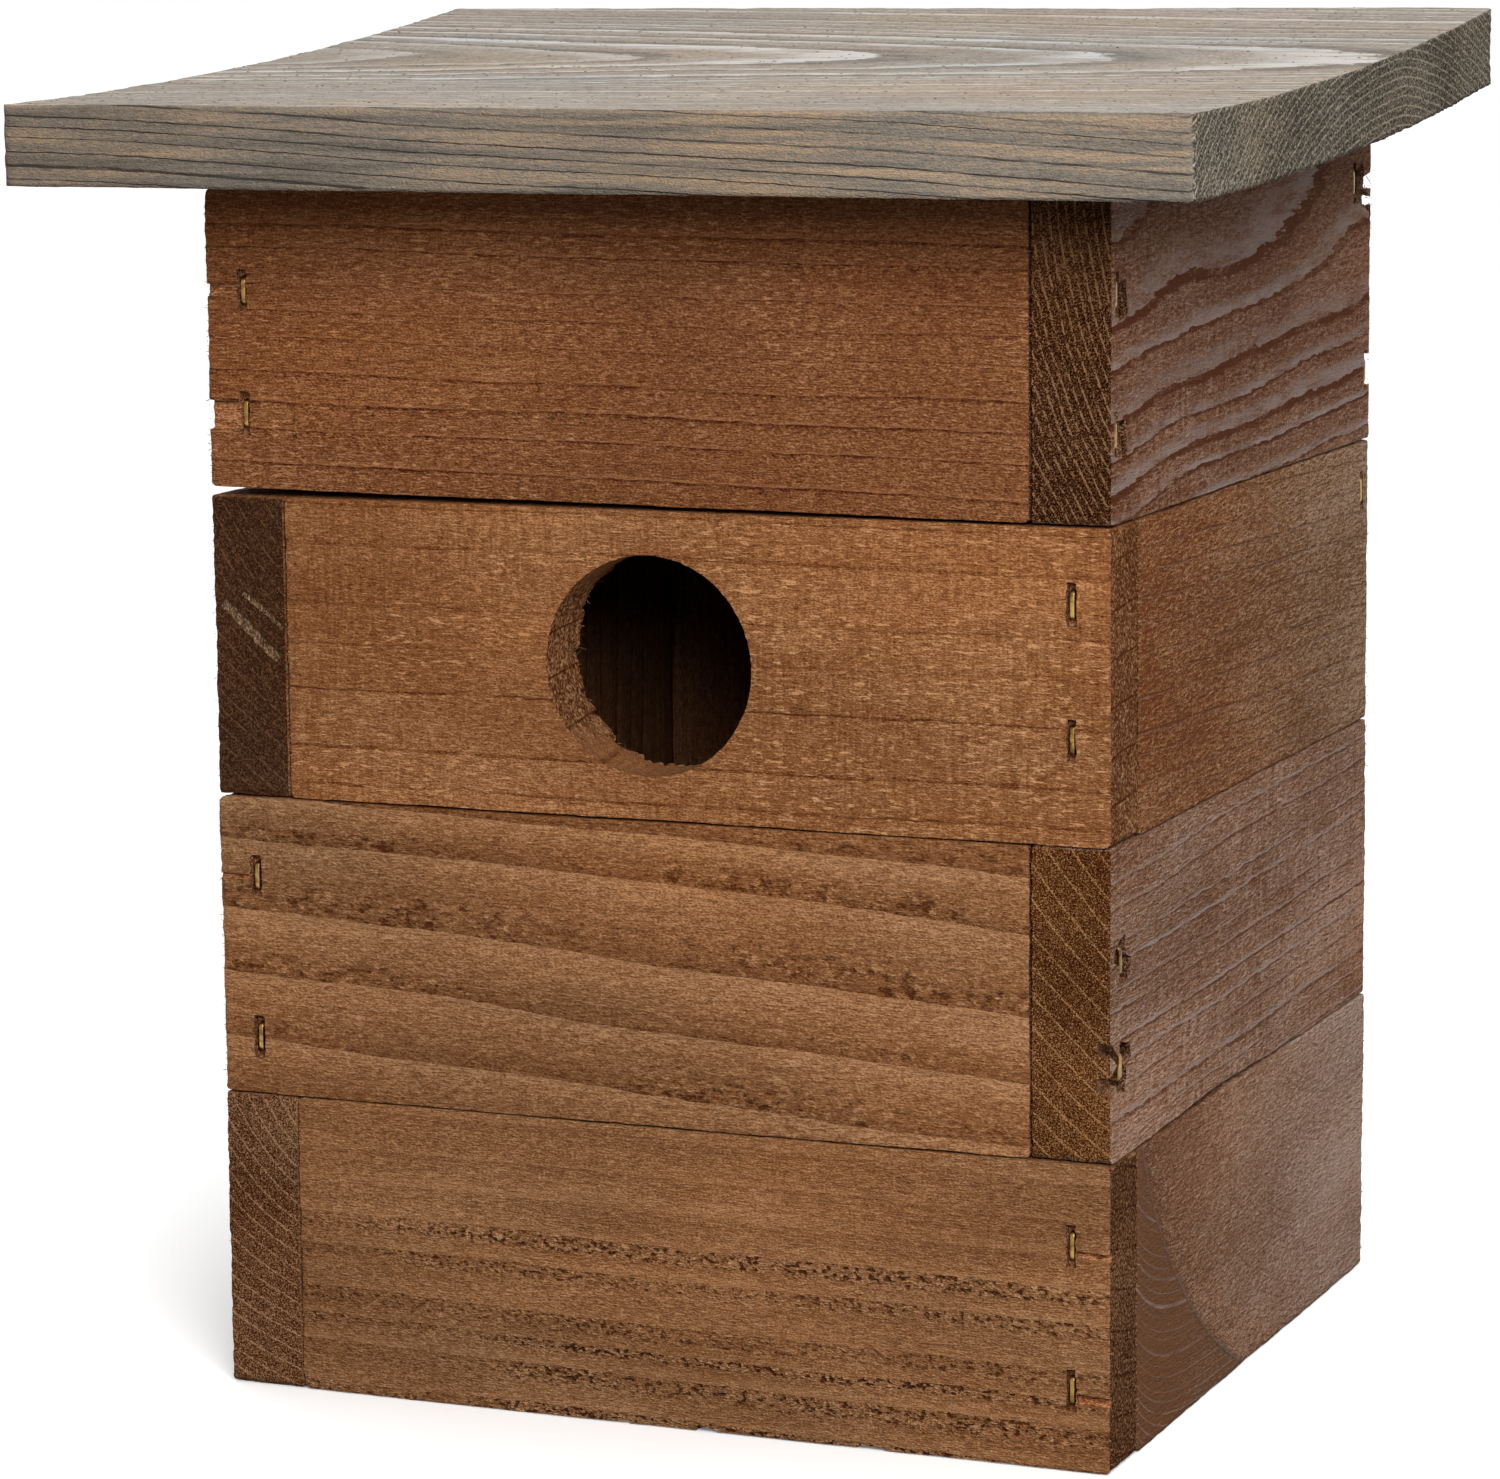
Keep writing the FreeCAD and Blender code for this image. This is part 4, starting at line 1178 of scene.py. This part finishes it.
def metal(name, tint, shadow, roughness, brushed):
    """A metal whose tint and roughness drift in clouds and are scratched along one direction."""
    material = bpy.data.materials.new(name)
    material.use_nodes = True
    bench = Bench(material.node_tree)
    where = material.node_tree.nodes.new("ShaderNodeTexCoord")
    place = bench.scaled(where.outputs["Object"], 1 / MM)
    cloud = bench.noise(place, CLOUD_CELLS, CLOUD_SEED, 3.0)
    rub = bench.noise(place, brushed, RUB_SEED)
    grime = bench.step(bench.noise(place, GRIME_CELLS, GRIME_SEED, 3.0), 0.45, 0.7)
    shader = material.node_tree.nodes["Principled BSDF"]
    shader.inputs["Metallic"].default_value = 1.0
    worn = bench.total((0.7, bench.step(cloud, 0.35, 0.65)), (0.5, grime))
    bench.feed(shader.inputs["Base Color"], bench.mixed(worn, tint, shadow))
    rough = bench.total((0.25, cloud), (0.2, rub))
    bench.feed(shader.inputs["Roughness"], bench.plus(rough, roughness))
    height = bench.total((0.02, rub), (0.03, grime))
    inputs = {"Strength": 0.6, "Distance": MM, "Height": height}
    bench.feed(shader.inputs["Normal"], bench.node("ShaderNodeBump", inputs))
    return material


staple_wire = metal(
    "staple_wire", tint=paint(164, 130, 76), shadow=paint(84, 60, 32), roughness=0.12,
    brushed=(6.0, 6.0, 0.6))
zinc_plate = metal(
    "zinc_plated_steel", tint=paint(196, 198, 200), shadow=paint(140, 143, 146), roughness=0.22,
    brushed=(0.4, 5.0, 5.0))
zinc_nodes = [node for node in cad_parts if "hinge" in node or "screw" in node or "hanger" in node]
for node in zinc_nodes:
    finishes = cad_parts[node].data.materials
    for place in range(len(finishes)):
        finishes[place] = zinc_plate
print("zinc on:", zinc_nodes)

# %% [markdown]
# Now the wires are set. The tree gets a cloud of points, one for each staple, and each point carries
# the turn that lays its crown in the surface.

# %% Set the staples


def point_cloud(name, places, attributes, edges=()):
    """A mesh of points, alone or joined by edges, that carry named vectors for a tree to read."""
    mesh = bpy.data.meshes.new(name)
    mesh.from_pydata([tuple(place) for place in places], edges, [])
    for key, values in attributes.items():
        layer = mesh.attributes.new(key, "FLOAT_VECTOR", "POINT")
        layer.data.foreach_set("vector", np.array(values, float).ravel())
    return mesh


wires = {}
for node, places in staples.items():
    turns = [Matrix((along, out.cross(along), out)).transposed().to_euler() for _, out, along in places]
    crowns = [middle - out * SUNK * abs(out.y) for middle, out, _ in places]
    source = point_cloud(node, crowns, {"turn": turns})
    wires[node] = run_tree(node + "_wire", staple_tree, source, material=staple_wire)
print("staple meshes:", {node: len(piece.data.polygons) for node, piece in wires.items()})

# %% [markdown]
# ## Torn pits and the entrance
# Where a staple went in, the gun left a slit beside the crown and often tore the fibres out to the
# board's end. These are real hollows, so small ragged blocks are cut out of the boards with a
# Boolean. The blocks come from the board tree itself, with short cells and strong roughness.

# %% Ragged blocks
SLIT_WIDTH = 2.3 * MM
SLIT_DEPTH = 1.9 * MM
SLIT_SPARE = 1.2 * MM
CUT_ABOVE = 2 * MM              # how far a cutter stands out of the surface
CUT_SHARP = 50                  # degrees, from which the edge of a cut stays sharp
SLIT_SEED_STEP = 3.1
box_middle = (0, 0, 0.1)
torn_looks = dict(
    pith=(0, 40, 40), ring_spacing=1.3, fuzz=0.8, fleck=0.4, streak=0.6, mottle=0.5, seed=33.0)
# painted shade: the torn wood in the side boards' pits is darker than their faces, for the shade in these
# small hollows
torn_tones = {"x": tones((146, 95, 60), (110, 72, 46)), "y": tones((104, 68, 44), (80, 52, 34))}
scar_tones = tones((100, 72, 48), (100, 72, 48))
torn_wood = {
    "x": board_wood("torn_wood_x", box_middle, "x", **torn_tones["x"], **torn_looks),
    "y": board_wood("torn_wood_y", box_middle, "y", **torn_tones["y"], **torn_looks),
    "z": board_wood("scarred_end", box_middle, "z", **scar_tones, **torn_looks)}


def ragged_block(name, low, high, grain, seed, turn=(0, 0, 0), corner=0.3 * MM, cell=0.3 * MM):
    """A small rough block to cut with, turned about its own middle."""
    block = run_tree(
        name, board_tree, low=low, high=high, cell=cell, ease=0.25 * MM, corner=corner, flat=(1, 1, 1),
        grain=GRAIN_AXIS[grain], wander=0.25 * MM, fuzz=0.25 * MM, rag=0.3 * MM, seed=seed,
        material=torn_wood[grain])
    middle = Matrix.Translation((low + high) / 2)
    turned = Euler([math.radians(angle) for angle in turn]).to_matrix().to_4x4()
    block.data.transform(middle @ turned @ middle.inverted())
    return block


def slit_block(place, number, grain):
    """The slit around one crown, a little longer and wider than the wire."""
    middle, out, along = place
    across = out.cross(along)
    reach = along * (CROWN_LENGTH / 2 + SLIT_SPARE) + across * (SLIT_WIDTH / 2)
    reach = Vector(abs(x) for x in reach)
    inner = middle - out * SLIT_DEPTH
    outer = middle + out * CUT_ABOVE
    low = Vector(map(min, inner, outer)) - reach
    high = Vector(map(max, inner, outer)) + reach
    return ragged_block("slit", low, high, grain, number * SLIT_SEED_STEP)


def cut_away(board, cutters):
    """Cuts blocks out of a board, leaving each cut the block's own finish, and removes the blocks."""
    for cutter in cutters:
        modifier = board.modifiers.new("cut", "BOOLEAN")
        modifier.object = cutter
        modifier.operation = "DIFFERENCE"
        modifier.solver = "MANIFOLD"
        modifier.material_mode = "TRANSFER"
    bake_modifiers(board)
    board.data.set_sharp_from_angle(angle=math.radians(CUT_SHARP))
    for cutter in cutters:
        bpy.data.objects.remove(cutter)


print("torn finishes:", [finish.name for finish in torn_wood.values()])

# %% [markdown]
# Every crown gets its slit. The larger tears differ from staple to staple, so they are a list, each with
# its two corners in millimetres and its turn in degrees. The same blocks chip the lower edge of the
# lowest front board and leave the pale scars on the end of one left board.

# %% Slits and tears
TEAR_SEED, TEAR_SEED_STEP = 50, 2.7
LEVEL = (0, 0, 0)
tears = {
    "course_4_front_board": [
        ((-71, -66, 164.0), (-64.4, -62.6, 166.2), LEVEL),
        ((-71, -66, 144.4), (-63.8, -62.2, 149.2), LEVEL)],
    "course_2_front_board": [((-71, -66, 77.2), (-64.6, -63.0, 78.6), LEVEL)],
    "course_1_front_board": [
        ((64.4, -66, 9.6), (71, -62.8, 11.6), LEVEL), ((64.4, -66, 31.0), (71, -63.0, 32.4), LEVEL),
        ((6.0, -66, -1), (9.8, -60.0, 0.9), (0, 8, 0)), ((-11, -66, -1), (-4.0, -61.0, 0.6), (0, -4, 0)),
        ((31, -66, -1), (36, -61.0, 0.7), LEVEL)],
    "course_4_right_board": [
        ((68.2, -61.6, 163.2), (72, -57.2, 168.8), (10, 0, 0)),
        ((68.4, -61.2, 143.8), (72, -56.7, 149.6), LEVEL),
        ((67.4, 60.6, 143.4), (72, 65, 149.0), LEVEL), ((67.8, 54.6, 172.8), (72, 60.4, 178.6), (14, 0, 0)),
        ((68.2, 57.6, 171.4), (72, 64.2, 174.6), (-18, 0, 0)),
        ((68.4, 59.6, 174.4), (72, 66.0, 177.4), (9, 0, 0))],
    "course_3_right_board": [((69.0, 58.9, 125.0), (72, 61.4, 129.6), LEVEL)],
    "course_2_right_board": [
        ((67.6, -66.0, 56.4), (72, -54.4, 59.2), (25, 0, 0)),
        ((67.8, -60.8, 54.4), (72, -56.4, 61.8), (-15, 0, 0)),
        ((67.6, -65.0, 59.0), (72, -58.0, 61.0), (-35, 0, 0)),
        ((67.6, -62.6, 72.0), (72, -54.6, 74.8), (-20, 0, 0)),
        ((67.8, -60.6, 69.6), (72, -56.6, 77.0), (12, 0, 0))],
    "course_3_left_board": [
        ((-70.2, -66, 113.8), (-57.6, -63.1, 116.0), (0, 42, 0)),
        ((-66.2, -66, 117.2), (-57.2, -63.1, 118.7), (0, 38, 0))],
}
pit_blocks = {}
for node, places in staples.items():
    if not node.startswith("course"):
        continue
    for place in places:
        _, out, _ = place
        if abs(out.y) > 0.5:
            side, grain = "front_board", "x"
        else:
            side, grain = "right_board" if out.x > 0 else "left_board", "y"
        owner = node.replace("staples", side)
        pit_blocks.setdefault(owner, []).append(slit_block(place, len(pit_blocks), grain))
for owner, blocks in tears.items():
    grain = "x" if "front" in owner else "y" if "right" in owner else "z"
    for number, (low, high, turn) in enumerate(blocks):
        seed = TEAR_SEED + number * TEAR_SEED_STEP
        block = ragged_block("tear", Vector(low) * MM, Vector(high) * MM, grain, seed, turn)
        pit_blocks.setdefault(owner, []).append(block)
print("blocks to cut:", {owner: len(blocks) for owner, blocks in pit_blocks.items()})

# %% [markdown]
# The entrance was bored through one board. The drill left a clean rim in front and broke the fibres
# out behind, so the cutter is a drum whose wall is slightly rough and whose rear rim is chipped.
# It carries the board's own wood, so the yearly rings run on into the wall of the hole.

# %% Entrance hole
FRONT_FACE = -64 * MM
HOLE_RADIUS = 16 * MM
HOLE_HEIGHT = 112.5 * MM
HOLE_STEPS = 360
WALL_FUZZ, CHIP_DEPTH = 0.12, 1.6
CHIP_FROM, CHIP_LENGTH = 8.8, 3.2
hole_stations = [-3, -0.6, 0, 0.6, 2, 4, 6, 8, 9, 9.6, 10.2, 10.8, 11.4, 12, 12.6, 15]


def drum_point(station, turn):
    """A point of the drum's wall, at a depth in millimetres from the front and a step around."""
    behind = min(1.0, max(0.0, (station - CHIP_FROM) / CHIP_LENGTH)) ** 1.5
    angle = 2 * math.pi * turn / HOLE_STEPS
    around = Vector((math.cos(angle), math.sin(angle), 0)) * (HOLE_RADIUS / MM)
    fuzz = noise.noise(around * 1.3 + Vector((0, 0, station * 0.8)))
    chip = max(0.0, noise.noise(around * 0.35 + Vector((7, 3, station * 0.3))) + 0.1)
    chip += max(0.0, noise.noise(around * 1.1 + Vector((2, 9, station * 0.5))))
    radius = HOLE_RADIUS + (WALL_FUZZ * fuzz + CHIP_DEPTH * behind * chip) * MM
    return radius * math.cos(angle), FRONT_FACE + station * MM, HOLE_HEIGHT + radius * math.sin(angle)


drum_points = [drum_point(station, turn) for station in hole_stations for turn in range(HOLE_STEPS)]
drum_faces = []
for ring in range(len(hole_stations) - 1):
    first, second = ring * HOLE_STEPS, (ring + 1) * HOLE_STEPS
    for turn in range(HOLE_STEPS):
        following = (turn + 1) % HOLE_STEPS
        drum_faces.append((first + turn, first + following, second + following, second + turn))
drum_faces.append(tuple(reversed(range(HOLE_STEPS))))
drum_faces.append(tuple(range(len(drum_points) - HOLE_STEPS, len(drum_points))))
drum_mesh = bpy.data.meshes.new("entrance_drum")
drum_mesh.from_pydata(drum_points, [], drum_faces)
drum_shell = bmesh.new()
drum_shell.from_mesh(drum_mesh)
bmesh.ops.recalc_face_normals(drum_shell, faces=drum_shell.faces)
for face in drum_shell.faces:
    face.smooth = True
drum_shell.to_mesh(drum_mesh)
drum_shell.free()
drum_mesh.materials.append(boards["course_3_front_board"].data.materials[0])
drum = bpy.data.objects.new("entrance_drum", drum_mesh)
bpy.context.scene.collection.objects.link(drum)
pit_blocks.setdefault("course_3_front_board", []).append(drum)
print("entrance drum:", len(drum_faces), "faces")

# %% [markdown]
# Two cuts cannot be seen from the front: the floor's clipped corners, which let rain drain away, and the
# pocket in the back behind the hanger's keyhole.

# %% Clipped floor corners and the hanger's pocket
FLOOR_CLIP = 12 * MM
CLIP_HEIGHT = 12 * MM
POCKET_CORNER = 4.4 * MM
floor_low, floor_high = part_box("floor_board")
clip_side = FLOOR_CLIP / math.sqrt(2)
clip_reach = Vector((clip_side, clip_side, CLIP_HEIGHT))
for x in (floor_low.x, floor_high.x):
    corner = Vector((x, floor_low.y, (floor_low.z + floor_high.z) / 2))
    low, high = corner - clip_reach, corner + clip_reach
    clip = ragged_block("clip", low, high, "x", seed=71.0, turn=(0, 0, 45), cell=1.2 * MM)
    pit_blocks.setdefault("floor_board", []).append(clip)
pocket_low, pocket_high = Vector((-7, 58, 148)) * MM, Vector((7, 66, 172)) * MM
pocket = ragged_block(
    "pocket", pocket_low, pocket_high, "y", seed=72.0, corner=POCKET_CORNER, cell=0.7 * MM)
pit_blocks["back_board"] = [pocket]
for owner, blocks in pit_blocks.items():
    cut_away(boards[owner], blocks)
print("cut:", {owner: len(boards[owner].data.polygons) for owner in pit_blocks})

# %% [markdown]
# ## Torn fibres
# A coarse saw leaves a fringe of broken fibres along the cut ends. They are far too many to place
# by hand: a tree spreads thin spikes along the arrises, each leaning its own way, with a fixed
# seed so that every run gives the same fringe.

# %% Torn fibre tree
SPIKE_TIP = 0.15                # share of a spike's thickness that is left at its tip
SHORTEST_FIBRE, LONGEST_FIBRE = (0.5, 0.5, 0.15), (1.2, 1.2, 1.0)
STRAY_LOW, STRAY_HIGH = (-0.3 * MM,) * 3, (0.3 * MM,) * 3
fibre_inputs = [
    ("Arris", "Geometry", None), ("Spacing", "Float", 0.8 * MM), ("Length", "Float", 0.75 * MM),
    ("Thickness", "Float", 0.07 * MM), ("Lean", "Float", 0.8), ("Seed", "Int", 1),
    ("Material", "Material", None)]


def lay_out_fibres(bench, given):
    """Wires spikes along each arris, leaning about the direction that the arris carries."""
    line = bench.node("GeometryNodeMeshToCurve", {0: given["Arris"]})
    inputs = {"Curve": line, "Length": given["Spacing"]}
    line = bench.node("GeometryNodeResampleCurve", inputs, mode="LENGTH")
    tip = bench.times(given["Thickness"], SPIKE_TIP)
    inputs = {"Vertices": 4, "Radius Top": tip, "Radius Bottom": given["Thickness"]}
    spike = bench.node("GeometryNodeMeshCone", {**inputs, "Depth": given["Length"]})
    outward = carried_vector(bench, "outward")
    reach = bench.joined(given["Lean"], given["Lean"], given["Lean"])
    lean = random_vector(bench, bench.scaled(reach, -1.0), reach, given["Seed"])
    leaning = bench.vector("ADD", bench.vector("NORMALIZE", outward), lean)
    turn = bench.node("FunctionNodeAlignRotationToVector", {"Vector": leaning}, axis="Z")
    stretch = random_vector(bench, SHORTEST_FIBRE, LONGEST_FIBRE, bench.plus(given["Seed"], 1.0))
    stretch = bench.vector("MULTIPLY", stretch, bench.joined(1.0, 1.0, bench.vector("LENGTH", outward)))
    stray = random_vector(bench, STRAY_LOW, STRAY_HIGH, bench.plus(given["Seed"], 2.0))
    line = bench.node("GeometryNodeSetPosition", {"Geometry": line, "Offset": stray})
    inputs = {"Points": line, "Instance": spike, "Rotation": turn, "Scale": stretch}
    return finished(bench, bench.node("GeometryNodeInstanceOnPoints", inputs), given["Material"])


fibre_outputs = [("Fibres", "Geometry")]
fibre_tree = new_tree("Torn fibres", "GeometryNodeTree", fibre_inputs, fibre_outputs, lay_out_fibres)

# %% [markdown]
# Each arris is a line of points that carry the way their fibres point. The longer that vector is, the
# longer the fibres: short ones along the sawn ends, longer ones where the drill broke out behind the
# entrance, and a few splinters at the upper rear corner of the right side.

# %% Arrises of the cut ends
ARRIS_INSET = 0.35 * MM
ARRIS_TRIM = 1.5 * MM
arris_points, arris_edges, arris_outward = [], [], []


def fringe(points, outwards):
    """Adds one arris, a little inside the board, with the way that its fibres point."""
    first = len(arris_points)
    arris_points.extend(points)
    arris_outward.extend(outwards)
    arris_edges.extend((i, i + 1) for i in range(first, first + len(points) - 1))


for node in board_looks:
    low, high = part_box(node + "_board")
    if node in ("course_4_left", "course_4_right"):
        high = Vector((high.x, high.y, roof_line(low.y) - ROOF_ROOM))
    bottom, top = low.z + ARRIS_TRIM, high.z - ARRIS_TRIM
    middle = (low + high) / 2
    for x in (low.x, high.x):
        for y in (low.y, high.y):
            to_middle = Vector((1 if x < middle.x else -1, 1 if y < middle.y else -1, 0))
            along_x = node.endswith("front")
            outward = Vector((-to_middle.x, 0, 0)) if along_x else Vector((0, -to_middle.y, 0))
            inner_x, inner_y = x + to_middle.x * ARRIS_INSET, y + to_middle.y * ARRIS_INSET
            fringe([(inner_x, inner_y, bottom), (inner_x, inner_y, top)], [outward, outward])
print("arris points on the boards:", len(arris_points))

# %% [markdown]
# Around the entrance the fibres break out only where the drill crossed the grain, at the left and right
# of the hole, so their length follows the spoke.

# %% Rim, splinters and the fringe itself
BOARD_THICKNESS = 12 * MM
SIDE_FACE = 70 * MM
RIM_STEPS = 48
RIM_LENGTH = 2.6
RIM_SPARE, RIM_INSET = 0.6 * MM, 0.7 * MM
SPLINTER_LENGTH = 5.0
SPLINTER_INSET, SPLINTER_Y = 0.8 * MM, 62.6 * MM
SPLINTER_HEIGHTS = (173 * MM, 178 * MM)
rim_points, rim_outward = [], []
for step in range(RIM_STEPS + 1):
    angle = 2 * math.pi * step / RIM_STEPS
    spoke = Vector((math.cos(angle), 0, math.sin(angle)))
    rim = spoke * (HOLE_RADIUS + RIM_SPARE)
    rim_points.append((rim.x, FRONT_FACE + BOARD_THICKNESS - RIM_INSET, HOLE_HEIGHT + rim.z))
    across_grain = abs(spoke.x) ** 0.5
    rim_outward.append(Vector((-spoke.x, 0.3, -0.4 * spoke.z)) * RIM_LENGTH * across_grain)
fringe(rim_points, rim_outward)
splinter_line = [(SIDE_FACE - SPLINTER_INSET, SPLINTER_Y, height) for height in SPLINTER_HEIGHTS]
fringe(splinter_line, [Vector((0.25, 0.3, -0.6)) * SPLINTER_LENGTH] * 2)
arris_mesh = point_cloud("torn_fibres", arris_points, {"outward": arris_outward}, arris_edges)
fibres = run_tree("torn_fibres", fibre_tree, arris_mesh, material=torn_wood["x"])
print("torn fibres:", len(fibres.data.polygons), "faces")

# %% [markdown]
# ## Hand over
# Each piece rides on its body and stands for its solid, which is hidden.

# %% Hand over
for node, piece in {**boards, **wires}.items():
    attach(piece, "roof" if node == "roof_board" else "box")
    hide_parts(node)
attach(fibres, "box")
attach(dust, "roof")
